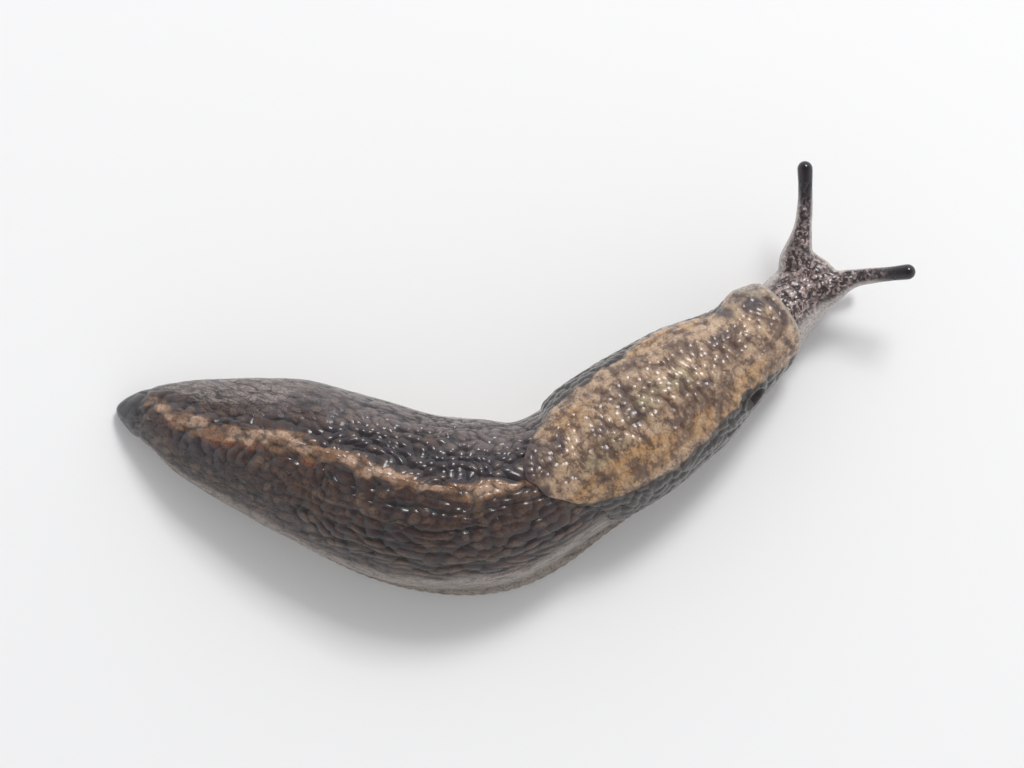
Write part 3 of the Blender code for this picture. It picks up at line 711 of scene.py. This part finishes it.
def finish(tree, shader, colour, reliefs, surface):
    """Links colour and fine relief to the surface shader and sets its constant values.

    A relief is the shader's input, its height in millimetres, and the value that shapes it.
    """
    tree.links.new(colour, shader.inputs["Base Color"])
    for name, rise, height in reliefs:
        bump = {"Strength": 1.0, "Distance": rise * MM, "Height": height}
        tree.links.new(add(tree, "ShaderNodeBump", bump), shader.inputs[name])
    for name, value in surface.items():
        shader.inputs[name].default_value = value


# Slug skin: pigmented hide under a thin film of clear mucus. The hide itself is dull, the
# film rounds each tubercle off and gives it a small sharp highlight. Pigment lies in some
# lumps, in blotches of 1.2 mm and in specks of 0.12 mm, and the head has beads of 0.36 mm.
# Painted light and shade lie in it too: lighter tops on the lumps, darker dips between them
# and in the grooves, folds and fine lines, a grey sheen on the lower flanks, pale ridges on
# the tail's wrinkles, a darker tip of the tail, paler sides and glints on the head.
SKIN_BROWN = "#3A241D"
SKIN_UMBER = "#523B2E"
SKIN_PURPLE = "#2C1D22"
SKIN_LEFT = "#665A5B"
# Dark pigment in the specks, and painted shade in the dips between lumps and in the grooves, folds
# and lines.
SKIN_DARK_AND_SHADE = "#130E10"
SKIN_BLACK = "#241A24"
SKIN_PALE = "#85705C"
WRINKLE_RIDGE_HIGHLIGHT = "#988C84"
BAND_TAN = "#8A6548"
BAND_PALE = "#BB9C84"
RUST_BROWN = "#7A4126"
UNDER_BAND = "#44302A"
# The grey of the lower flanks is painted sheen, as wet skin looks there when seen at a slant.
SKIRT_SHEEN_GREY = "#968A7F"
# Painted shade on the smooth tip of the tail, whose rear face is turned from the light.
TAIL_END_SHADE = "#1E1D22"
HEAD_BROWN = "#9E8A84"
HEAD_DARK = "#20151A"
HEAD_FLECK_AND_GLINT = "#D8CBC5"
# Painted sheen on the head's sides.
HEAD_SIDE_SHEEN = "#BDB3AE"
STALK_BROWN = "#4E3F42"
STALK_DARK = "#191218"
SOLE_CREAM = "#9C9284"
WRINKLE_LENGTH = 0.6
WRINKLE_WIDTH = 0.3
SPECK_SIZE = 0.12
BLOTCH_SIZE = 1.2
FLECK_SIZE = 0.26
BEAD_SIZE = 0.36
SKIN_RELIEF = 0.06
SKIN_FILM_RELIEF = 0.08
WET_HIDE = {
    "Roughness": 0.5, "IOR": 1.36, "Specular IOR Level": 0.3,
    "Coat Weight": 1.0, "Coat Roughness": 0.2, "Coat IOR": 1.45,
}

skin_material, tree, shader = new_material("wet_slug_skin")
names = ("band", "under_band", "stalk", "left", "skirt", "black", "rust", "pale", "wrinkled",
         "smooth_end", "fold", "groove", "low_line", "head", "on_top", "sole")
value = {name: add(tree, "ShaderNodeAttribute", attribute_name=name) for name in names}
where = add(tree, "ShaderNodeAttribute", out="Vector", attribute_name="where")
in_metres = add(tree, "ShaderNodeTexCoord", out="Object")
in_mm = {"Vector": in_metres, "Scale": 1 / MM}
in_mm = add(tree, "ShaderNodeVectorMath", in_mm, operation="SCALE")
noise = {"Vector": in_mm, "Scale": 1 / SPECK_SIZE, "Detail": 3.0, "Roughness": 0.6}
speck = add(tree, "ShaderNodeTexNoise", noise)
noise = {"Vector": where, "Scale": 1 / BLOTCH_SIZE, "Detail": 6.0, "Roughness": 0.7}
blotch = add(tree, "ShaderNodeTexNoise", noise, noise_dimensions="2D")
noise = {"Vector": where, "Scale": 0.9 / BLOTCH_SIZE, "Detail": 5.0, "Distortion": 0.6}
other_blotch = add(tree, "ShaderNodeTexNoise", noise, noise_dimensions="2D")
at = add(tree, "ShaderNodeAttribute", out="Vector", attribute_name="lump_at")
lump = {"Vector": at, "Scale": 1.0, "Randomness": LUMP_RANDOM}
lump_tone = add(tree, "ShaderNodeTexVoronoi", lump, "Color", voronoi_dimensions="2D")
lump = tree.nodes[-1].outputs["Distance"]
wrinkle_scale = (1 / WRINKLE_LENGTH, 1 / WRINKLE_WIDTH, 1.0)
at = add(tree, "ShaderNodeVectorMath", (where, wrinkle_scale), operation="MULTIPLY")
noise = {"Vector": at, "Scale": 1.0, "Detail": 4.0, "Roughness": 0.55, "Distortion": 0.9}
wrinkle = add(tree, "ShaderNodeTexNoise", noise, noise_dimensions="2D")
crinkle = {"Vector": in_mm, "Scale": 1 / FLECK_SIZE, "Detail": 1.0, "Distortion": 0.9}
crinkle = add(tree, "ShaderNodeTexNoise", crinkle)
beads = {"Vector": in_mm, "Scale": 1 / BEAD_SIZE, "Randomness": 0.9}
bead = add(tree, "ShaderNodeTexVoronoi", beads)
broken = {"wrinkled": wrinkle, "pale": other_blotch, "rust": blotch, "band": other_blotch}
for name, texture in broken.items():
    broken[name] = add(tree, "ShaderNodeMath", (value[name], texture), operation="MULTIPLY")
# The relief of hide and film is highest at the middle of each lump and of each bead.
film = add(tree, "ShaderNodeMath", (lump, lump), operation="MULTIPLY")
film = add(tree, "ShaderNodeMath", (film, -2.0, 1.0), operation="MULTIPLY_ADD")
# Some lumps are paler in their own colour, and each is painted palest at its top: painted light.
pale_and_lit_lump = add(tree, "ShaderNodeMath", (film, lump_tone), operation="MULTIPLY")
head_film = add(tree, "ShaderNodeMath", (bead, bead), operation="MULTIPLY")
head_film = add(tree, "ShaderNodeMath", (head_film, -1.4, 1.0), operation="MULTIPLY_ADD")
ground = layered(tree, linear(SKIN_BROWN), [
    (blotch, 0.48, 0.62, 0.7, SKIN_UMBER),
    (other_blotch, 0.52, 0.4, 0.8, SKIN_PURPLE),
    (value["left"], 0.0, 1.0, 0.75, SKIN_LEFT),
    (value["under_band"], 0.0, 1.0, 0.6, UNDER_BAND),
    (value["black"], 0.1, 0.9, 0.85, SKIN_BLACK),
    # Pale lumps: partly their own tone, partly painted light on their tops.
    (pale_and_lit_lump, 0.35, 0.85, 0.3, SKIN_PALE),
    (broken["pale"], 0.34, 0.62, 0.35, SKIN_PALE),
    # Painted sheen: the lower flanks turn paler grey.
    (value["skirt"], 0.0, 1.0, 0.85, SKIRT_SHEEN_GREY),
    # Painted shade: the fine lines along the lower flank are darker where they dip.
    (value["low_line"], 0.2, 0.9, 0.7, SKIN_DARK_AND_SHADE),
    (broken["rust"], 0.3, 0.55, 0.8, RUST_BROWN),
    (value["band"], 0.1, 0.8, 0.85, BAND_TAN),
    (broken["band"], 0.4, 0.58, 0.75, BAND_PALE),
    # Painted shade: darker in the dips between the tubercles.
    (lump, 0.34, 0.74, 0.65, SKIN_DARK_AND_SHADE),
    # Painted highlight: the raised ridges of the tail's wrinkles are paler.
    (broken["wrinkled"], 0.4, 0.62, 0.65, WRINKLE_RIDGE_HIGHLIGHT),
    # Painted sheen again, over the marks beneath it.
    (value["skirt"], 0.0, 1.0, 0.35, SKIRT_SHEEN_GREY),
    (speck, 0.5, 0.36, 0.5, SKIN_DARK_AND_SHADE),
    # Painted shade: the grooves and the deep fold are darker where they sink into the skin.
    (value["groove"], 0.1, 0.9, 0.8, SKIN_DARK_AND_SHADE),
    (value["fold"], 0.2, 0.9, 0.8, SKIN_DARK_AND_SHADE),
    # Painted shade: the smooth tip of the tail is darker.
    (value["smooth_end"], 0.0, 1.0, 0.9, TAIL_END_SHADE),
    (value["sole"], 0.0, 1.0, 1.0, SOLE_CREAM),
])
face = layered(tree, linear(HEAD_BROWN), [
    (value["stalk"], 0.2, 0.55, 0.7, STALK_BROWN),
    (crinkle, 0.52, 0.44, 0.9, HEAD_DARK),
    # Pale flecks on the crinkle ridges: partly the head's own flecks, partly painted glints.
    (crinkle, 0.58, 0.68, 0.6, HEAD_FLECK_AND_GLINT),
    (bead, 0.42, 0.62, 0.6, HEAD_DARK),
    # Painted sheen: the head is paler where its surface turns away from the top.
    (value["on_top"], 0.9, 0.2, 0.85, HEAD_SIDE_SHEEN),
    (speck, 0.5, 0.4, 0.4, HEAD_DARK),
    (value["stalk"], 0.55, 0.8, 0.95, STALK_DARK),
])
colour = layered(tree, ground, [(value["head"], 0.0, 1.0, 1.0, face)])
rough = add(tree, "ShaderNodeMath", (speck, 0.4, film), operation="MULTIPLY_ADD")
folds = add(tree, "ShaderNodeMath", (wrinkle, 4.0, speck), operation="MULTIPLY_ADD")
rough = add(tree, "ShaderNodeMix", (value["wrinkled"], rough, folds), data_type="FLOAT")
head_rough = add(tree, "ShaderNodeMath", (crinkle, 0.9, head_film), operation="MULTIPLY_ADD")
rough = add(tree, "ShaderNodeMix", (value["head"], rough, head_rough), data_type="FLOAT")
even = add(tree, "ShaderNodeMath", (value["skirt"], -0.7, 1.0), operation="MULTIPLY_ADD")
even = add(tree, "ShaderNodeMath", (value["smooth_end"], -0.8, even), operation="MULTIPLY_ADD")
film = add(tree, "ShaderNodeMath", (film, even), operation="MULTIPLY")
folds = add(tree, "ShaderNodeMath", (wrinkle, 3.0, speck), operation="MULTIPLY_ADD")
film = add(tree, "ShaderNodeMix", (value["wrinkled"], film, folds), data_type="FLOAT")
film = add(tree, "ShaderNodeMix", (value["head"], film, head_film), data_type="FLOAT")
reliefs = (("Normal", SKIN_RELIEF, rough), ("Coat Normal", SKIN_FILM_RELIEF, film))
finish(tree, shader, colour, reliefs, WET_HIDE)
skin.data.materials.clear()
raise_lumps(skin, TUBERCLE_RISE * MM, skin_material)
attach(skin, "root")
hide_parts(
    "tail_tip", "tail", "back_rear", "back_front", "trunk_rear", "trunk_front", "neck",
    "head", "foot_tail", "foot_rear", "foot_middle", "foot_front", "eyestalk_root_left",
    "eyestalk_root_right", "eyestalk_stem_left", "eyestalk_stem_right", "feeler_left",
    "feeler_right",
)


# The mantle is a thick shield of skin over the front of the back, free at its rim. It is
# one closed shell with a rounded edge, and its top is covered with small round granules.
# The lobe, the pore and the smooth front are placed by distance along and degrees round.
MANTLE_RISE = 0.2
MANTLE_REAR_RISE = 0.08
MANTLE_DOME = 0.4
HOOD_RISE = 0.1
MANTLE_ALONG = 250
MANTLE_ACROSS = 180
LOBE_PATCH = (35.6, -42.0, 1.1, 34.0)
LOBE_RISE = 0.5
PORE_PLACE = (32.8, 60.0)
PORE_SIZE = (0.62, 7.0)
PORE_DEPTH = 0.3
PORE_LIP_RISE = 0.08
MANTLE_ROLL = 0.07
GRANULE_WIDTH = 0.43
GRANULE_RISE = 0.035
RIM_WAVE = 0.12
RIM_ROLL = 0.32
TUCK = 0.15
SMOOTH_FRONT = (34.8, 35.8)
SMOOTH_SIDE = (-40.0, -15.0)
# Distance from the tip of the tail, and the mean radius of the body under the mantle.
MANTLE_RADIUS = [(20.0, 3.255), (30.0, 2.945), (37.0, 1.86)]

# u runs from -1 at the left rim to 1 at the right, v from 0 at the rear to 1 at the front,
# and both have their lines closer together near the rim.
v = 0.5 - 0.5 * np.cos(np.pi * np.linspace(0, 1, MANTLE_ALONG + 1))
v = 0.45 * v + 0.55 * np.linspace(0, 1, MANTLE_ALONG + 1)
u = -np.cos(np.pi * np.linspace(0, 1, MANTLE_ACROSS + 1))
u = 0.35 * u + 0.65 * np.linspace(-1, 1, MANTLE_ACROSS + 1)
v, u = np.meshgrid(v, u, indexing="ij")
rear, front = mantle_ends(u)
rear = rear + RIM_WAVE * drift(4 * u, 0 * u, 28) + RIM_WAVE * drift(11 * u, 0 * u, 29)
s, angle = rear + (front - rear) * v, MANTLE_SIDE_ANGLE * u
edge = np.maximum(np.abs(u) ** 3.0, np.abs(2 * v - 1) ** 5.0)
rim_rise = MANTLE_REAR_RISE + (MANTLE_RISE - MANTLE_REAR_RISE) * ease(v, 0.0, 0.35)
rise = rim_rise + MANTLE_DOME * (1 - edge) + HOOD_RISE * ease(v, 0.85, 1.0)
rise += LOBE_RISE * spots(s, angle, [LOBE_PATCH])
radius = np.interp(s, *np.array(MANTLE_RADIUS).T)
q = np.radians(angle) * radius
warp_s = s + 0.16 * drift(s / 0.9, q / 0.9, 21)
warp_q = q + 0.16 * drift(s / 0.8, q / 0.8, 27)
side_distance = (1 - np.abs(u)) * np.radians(MANTLE_SIDE_ANGLE) * radius
end_distance = np.minimum(v, 1 - v) * (front - rear)
to_rim = np.minimum(side_distance, end_distance)
inside = ease(to_rim, 0.0, RIM_ROLL)
pore_off = np.hypot((s - PORE_PLACE[0]) / PORE_SIZE[0], (angle - PORE_PLACE[1]) / PORE_SIZE[1])
pore = 1 - ease(pore_off, 0.55, 1.0)
pore_lip = np.exp(-(((pore_off - 1.25) / 0.25) ** 2))
smooth = ease(s, *SMOOTH_FRONT) * ease(-angle, *SMOOTH_SIDE)
lift = MANTLE_ROLL * drift(s / 1.8, q / 1.5, 24) * inside
lift += PORE_LIP_RISE * pore_lip - PORE_DEPTH * pore
roll = rim_rise * (1 - np.sqrt(np.clip(1 - (1 - to_rim / RIM_ROLL).clip(0, 1) ** 2, 0, 1)))
upper = place(s, *raised(s, angle, rise + lift - roll))
lower = place(s, *raised(s, angle, -TUCK - trunk_sink(s, angle)))
grid = np.arange(upper.size // 3).reshape(upper.shape[:2])
quads = np.stack([grid[:-1, :-1], grid[:-1, 1:], grid[1:, 1:], grid[1:, :-1]], axis=-1)
quads = quads.reshape(-1, 4)
under = quads[:, ::-1] + grid.size
rim = np.concatenate([grid[0, :-1], grid[:-1, -1], grid[-1, :0:-1], grid[:0:-1, 0]])
after = np.roll(rim, -1)
rim_faces = np.stack([after, rim, rim + grid.size, after + grid.size], axis=1)
both_sides = np.concatenate([upper.reshape(-1, 3), lower.reshape(-1, 3)]) * MM
mantle = solid("mantle_skin", both_sides, np.concatenate([quads, under, rim_faces]).tolist())
mantle.data.shade_smooth()

# Where the mantle's colours lie, by distance along the body and degrees from its top. The
# dark side bands start at these degrees on the right and on the left.
RIGHT_BAND_START = [(21.0, 34.0), (22.6, 38.0), (24.0, 45.0), (26.0, 50.0), (28.0, 51.0),
                    (30.5, 48.0), (32.3, 45.0), (33.9, 50.0), (36.0, 77.0), (37.5, 90.0)]
LEFT_BAND_START = [(21.0, 22.0), (22.6, 34.0), (24.1, 43.0), (25.6, 42.0), (28.5, 49.0),
                   (31.7, 74.0), (33.0, 60.0), (34.0, 44.0), (34.8, 60.0), (36.0, 95.0)]
PURPLE_PATCHES = [
    (22.3, -10.0, 1.0, 13.0), (27.6, -20.0, 0.5, 7.0), (27.2, 4.0, 0.6, 6.0),
    (22.0, -1.0, 0.6, 8.0), (27.0, -6.0, 0.3, 10.0), (23.3, -12.0, 0.5, 6.0),
    (25.4, -3.0, 0.5, 6.0), (31.0, 13.0, 0.6, 5.0), (33.0, -12.0, 1.0, 8.0),
]
BROWN_PATCHES = [
    (28.6, -36.0, 0.7, 7.0), (34.8, 26.0, 0.5, 8.0), (29.6, 18.0, 0.6, 6.0), (28.8, 36.0, 0.6, 6.0),
    (32.6, 6.0, 1.0, 8.0), (30.3, 20.0, 0.6, 6.0), (33.5, 4.0, 0.8, 8.0), (31.4, 30.0, 0.9, 5.0),
    (30.8, -20.0, 0.7, 8.0), (24.6, 30.0, 0.5, 5.0), (34.2, 42.0, 0.5, 6.0),
]
OLIVE_PATCHES = [
    (27.8, 0.0, 0.8, 7.0), (28.5, -8.0, 0.8, 8.0), (30.2, -1.0, 0.8, 8.0), (25.4, 10.0, 0.8, 8.0),
    (24.4, 14.0, 0.7, 7.0),
]
ORANGE_PATCHES = [
    (24.2, 34.0, 1.8, 13.0), (27.2, 36.0, 1.6, 11.0), (30.2, 36.0, 1.4, 9.0),
    (33.0, 36.0, 1.3, 9.0), (25.3, 31.0, 1.3, 10.0), (23.4, 38.0, 0.9, 8.0),
    (30.5, 40.0, 1.2, 9.0), (32.2, 40.0, 1.0, 8.0), (34.8, 52.0, 1.1, 14.0),
    (29.7, -50.0, 1.8, 12.0), (24.3, -25.0, 1.4, 12.0), (32.4, -47.0, 1.2, 10.0),
    (27.0, 28.0, 0.9, 8.0),
]
LOBE_TINT = (35.9, -38.0, 1.3, 30.0)
ARC_INSET = 0.55
ARC_WIDTH = 0.26
LOBE_DARK = [
    (35.8, -20.0, 0.42, 9.0), (35.3, -22.0, 0.35, 8.0), (34.3, -34.0, 0.35, 12.0),
    (34.1, -50.0, 0.3, 12.0),
]
start = np.interp(s, *np.array(RIGHT_BAND_START).T)
start = np.where(angle < 0, np.interp(s, *np.array(LEFT_BAND_START).T), start)
ragged = 5.0 * drift(s / 0.6, q / 0.5, 25) + 3.0 * drift(s / 0.25, q / 0.25, 26)
off_arc = front - s - ARC_INSET + 0.12 * drift(q, s, 20)
front_arc = np.exp(-((off_arc / ARC_WIDTH) ** 2))
front_arc *= ease(angle, -30.0, -14.0) * (1 - ease(angle, 14.0, 34.0))
tables = {
    "side": ease(np.abs(angle) - start + ragged, -3.0, 5.0),
    "purple": spots(s, angle, PURPLE_PATCHES), "brown": spots(s, angle, BROWN_PATCHES),
    "olive": spots(s, angle, OLIVE_PATCHES), "orange": spots(s, angle, ORANGE_PATCHES),
    "lobe": spots(s, angle, [LOBE_TINT]),
    "lobe_dark": np.clip(spots(s, angle, LOBE_DARK) + front_arc, 0.0, 1.0),
    "rim_pale": (1 - ease(front - s, 0.12, 0.34)) * (1 - ease(-angle, 30.0, 60.0)),
    "pore": pore, "low_side": ease(np.abs(angle), 88.0, 100.0),
    "rear_dark": (1 - ease(s - rear + 0.05 * ragged, 0.1, 0.8)) * (1 - ease(angle, 12.0, 26.0)),
}
where = np.stack([s, q, 0 * s], axis=-1).reshape(-1, 3)
lump_at = np.stack([warp_s, warp_q, 0 * s], axis=-1).reshape(-1, 3) / GRANULE_WIDTH
lumpy = (inside * (1 - 0.75 * smooth) * ease(pore_off, 1.2, 2.2)).ravel()
set_values(
    mantle.data, where=np.concatenate([where, where]), lumpy=np.concatenate([lumpy, 0 * lumpy]),
    lump_at=np.concatenate([lump_at, lump_at]),
    **{name: np.tile(values.ravel(), 2) for name, values in tables.items()},
)

# Mantle skin: the same wet hide, thicker, with tan pigment under a brown mottling of 0.8
# and 2 mm. Each granule is painted palest on its top and brown in the dips around it:
# painted light and shade. Each granule has its own small highlight.
MANTLE_TAN = "#AD9075"
MANTLE_PALE = "#C6AE93"
MANTLE_ORANGE = "#AC8250"
MANTLE_BROWN = "#4A342C"
MANTLE_UMBER = "#6E513F"
MANTLE_PURPLE = "#382B30"
MANTLE_OLIVE = "#91866A"
MANTLE_SIDE = "#191312"
MANTLE_LOW = "#6A625E"
LOBE_GREY = "#857869"
RIM_GREY = "#A79C90"
MOTTLE_SIZE = 0.8
WIDE_MOTTLE_SIZE = 2.0
MANTLE_RELIEF = 0.05
MANTLE_FILM_RELIEF = 0.06

mantle_material, tree, shader = new_material("wet_mantle_skin")
value = {name: add(tree, "ShaderNodeAttribute", attribute_name=name) for name in tables}
where = add(tree, "ShaderNodeAttribute", out="Vector", attribute_name="where")
noise = {"Vector": where, "Scale": 1 / MOTTLE_SIZE, "Detail": 6.0, "Roughness": 0.7}
mottle = add(tree, "ShaderNodeTexNoise", noise, noise_dimensions="2D")
noise = {"Vector": where, "Scale": 1 / WIDE_MOTTLE_SIZE, "Detail": 6.0, "Roughness": 0.65}
wide_mottle = add(tree, "ShaderNodeTexNoise", noise, noise_dimensions="2D")
noise = {"Vector": where, "Scale": 1 / SPECK_SIZE, "Detail": 3.0, "Roughness": 0.6}
speck = add(tree, "ShaderNodeTexNoise", noise, noise_dimensions="2D")
at = add(tree, "ShaderNodeAttribute", out="Vector", attribute_name="lump_at")
granule = {"Vector": at, "Scale": 1.0, "Randomness": LUMP_RANDOM}
granule = add(tree, "ShaderNodeTexVoronoi", granule, voronoi_dimensions="2D")
colour = layered(tree, linear(MANTLE_TAN), [
    (value["orange"], 0.1, 0.9, 0.8, MANTLE_ORANGE),
    (value["olive"], 0.1, 0.9, 0.75, MANTLE_OLIVE),
    (value["lobe"], 0.1, 0.9, 0.9, LOBE_GREY),
    (wide_mottle, 0.52, 0.66, 0.6, MANTLE_UMBER),
    (mottle, 0.52, 0.42, 0.75, MANTLE_BROWN),
    (mottle, 0.56, 0.68, 0.6, MANTLE_PALE),
    (value["brown"], 0.1, 0.9, 0.65, MANTLE_BROWN),
    (value["purple"], 0.1, 0.9, 0.75, MANTLE_PURPLE),
    # Painted shade: brown in the dips between the granules.
    (granule, 0.42, 0.75, 0.45, MANTLE_BROWN),
    # Painted light: pale on the top of each granule.
    (granule, 0.3, 0.05, 0.3, MANTLE_PALE),
    (speck, 0.5, 0.36, 0.35, MANTLE_BROWN),
    (value["rear_dark"], 0.1, 0.9, 0.8, MANTLE_PURPLE),
    (value["side"], 0.0, 1.0, 0.95, MANTLE_SIDE),
    (value["low_side"], 0.0, 1.0, 0.7, MANTLE_LOW),
    (value["lobe_dark"], 0.1, 0.9, 0.85, MANTLE_PURPLE),
    (value["rim_pale"], 0.0, 1.0, 0.8, RIM_GREY),
    (value["pore"], 0.1, 0.9, 0.9, MANTLE_PURPLE),
])
film = add(tree, "ShaderNodeMath", (granule, granule), operation="MULTIPLY")
film = add(tree, "ShaderNodeMath", (film, -2.0, 1.0), operation="MULTIPLY_ADD")
rough = add(tree, "ShaderNodeMath", (speck, 0.35, film), operation="MULTIPLY_ADD")
rough = add(tree, "ShaderNodeMath", (mottle, 0.9, rough), operation="MULTIPLY_ADD")
reliefs = (("Normal", MANTLE_RELIEF, rough), ("Coat Normal", MANTLE_FILM_RELIEF, film))
finish(tree, shader, colour, reliefs, WET_HIDE)
raise_lumps(mantle, GRANULE_RISE * MM, mantle_material)
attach(mantle, "root")
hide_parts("mantle")


# The eyes are the round knobs at the tips of the eyestalks: dark, wet and glossy. Each is a
# closed cap that is slipped over its stalk's end and ends inside the stalk's skin.
KNOB_ROUND = 0.38
EYE_SHARE = 0.2
EYE_RISE = 0.006
EYE_TUCK = 0.05
EYE_RINGS = 40
EYE_SIDES = 48
EYE_BLACK = "#160E15"
EYE_FADE = "#191218"

# Eye skin: thin and clear over black pigment, smooth as glass with the same wet film.
eye_material, tree, shader = new_material("wet_eye_cap")
fade = add(tree, "ShaderNodeAttribute", attribute_name="fade")
colour = layered(tree, linear(EYE_BLACK), [(fade, 0.0, 1.0, 1.0, EYE_FADE)])
finish(tree, shader, colour, (), {**WET_HIDE, "Roughness": 0.3, "Coat Roughness": 0.08})
for side, path in EYESTALK_PATHS.items():
    shares = EYE_SHARE * (0.5 - 0.5 * np.cos(np.linspace(0, np.pi, EYE_RINGS)))
    length = path_points(path, shares)[1]
    radii = column(EYESTALK_RADII, 1, shares) * end_round(shares * length, KNOB_ROUND)
    radii += EYE_RISE - EYE_TUCK * ease(shares, 0.85 * EYE_SHARE, EYE_SHARE)
    eye = closed_sheet("eye_cap_" + side, tube_rings(path, radii, shares, EYE_SIDES))[0]
    fading = np.repeat(ease(shares, 0.4 * EYE_SHARE, EYE_SHARE), EYE_SIDES)
    set_values(eye.data, fade=np.concatenate([fading, [0.0, 1.0]]))
    write_points(eye.data, read_vectors(eye.data.vertices, "co") * MM)
    eye.data.shade_smooth()
    eye.data.materials.append(eye_material)
    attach(eye, "root")
    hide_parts("eye_" + side)


# The floor is a plain pale sheet. The light is soft: a bright horizon all round, a little
# brighter beyond the animal's left side, and a darker sky overhead. High up on that side are
# a small bright window and a wide dim one about it. Here lengths are metres, powers watts.
FLOOR_SIZE = 2.0
FLOOR_WHITE = "#F0F0EF"
SKY_WHITE = "#F6F7FA"
SKY_BRIGHT = 1.45
SKY_DARK = 0.3
SKY_LEAN = 0.1
LIGHT_ELEVATION = 52.0
LIGHT_AZIMUTH = 25.0
LIGHT_DISTANCE = 0.4
WINDOWS = [("window", 0.1, 0.72), ("wide_window", 0.2, 0.25)]

mesh = bpy.data.meshes.new("floor")
h = FLOOR_SIZE / 2
mesh.from_pydata([(-h, -h, 0), (h, -h, 0), (h, h, 0), (-h, h, 0)], [], [(0, 1, 2, 3)])
floor = bpy.data.objects.new("floor", mesh)
scene.collection.objects.link(floor)
# White paper: matt, so it shows the animal's soft shadow and no reflection.
floor_material, tree, shader = new_material("matt_white_paper")
shader.inputs["Base Color"].default_value = linear(FLOOR_WHITE)
shader.inputs["Roughness"].default_value = 0.9
mesh.materials.append(floor_material)

world = bpy.data.worlds.new("soft_daylight")
world.use_nodes = True
tree = world.node_tree
direction = add(tree, "ShaderNodeTexCoord", out="Generated")
lean = (direction, (0.0, -SKY_LEAN, 1.0))
height = add(tree, "ShaderNodeVectorMath", lean, "Value", operation="DOT_PRODUCT")
ramp = {"Value": height, "From Min": -SKY_LEAN, "To Min": SKY_BRIGHT, "To Max": SKY_DARK}
strength = add(tree, "ShaderNodeMapRange", ramp)
background = tree.nodes["Background"]
background.inputs["Color"].default_value = linear(SKY_WHITE)
tree.links.new(strength, background.inputs["Strength"])
scene.world = world
turn, up = np.radians(LIGHT_AZIMUTH), np.radians(LIGHT_ELEVATION)
toward = Vector((np.sin(turn) * np.cos(up), np.cos(turn) * np.cos(up), np.sin(up)))
for name, size, power in WINDOWS:
    light = bpy.data.objects.new(name, bpy.data.lights.new(name, "AREA"))
    light.data.size = size
    light.data.energy = power
    light.location = toward * LIGHT_DISTANCE
    light.rotation_euler = (-toward).to_track_quat("-Z", "Y").to_euler()
    scene.collection.objects.link(light)
scene.view_settings.view_transform = "Standard"
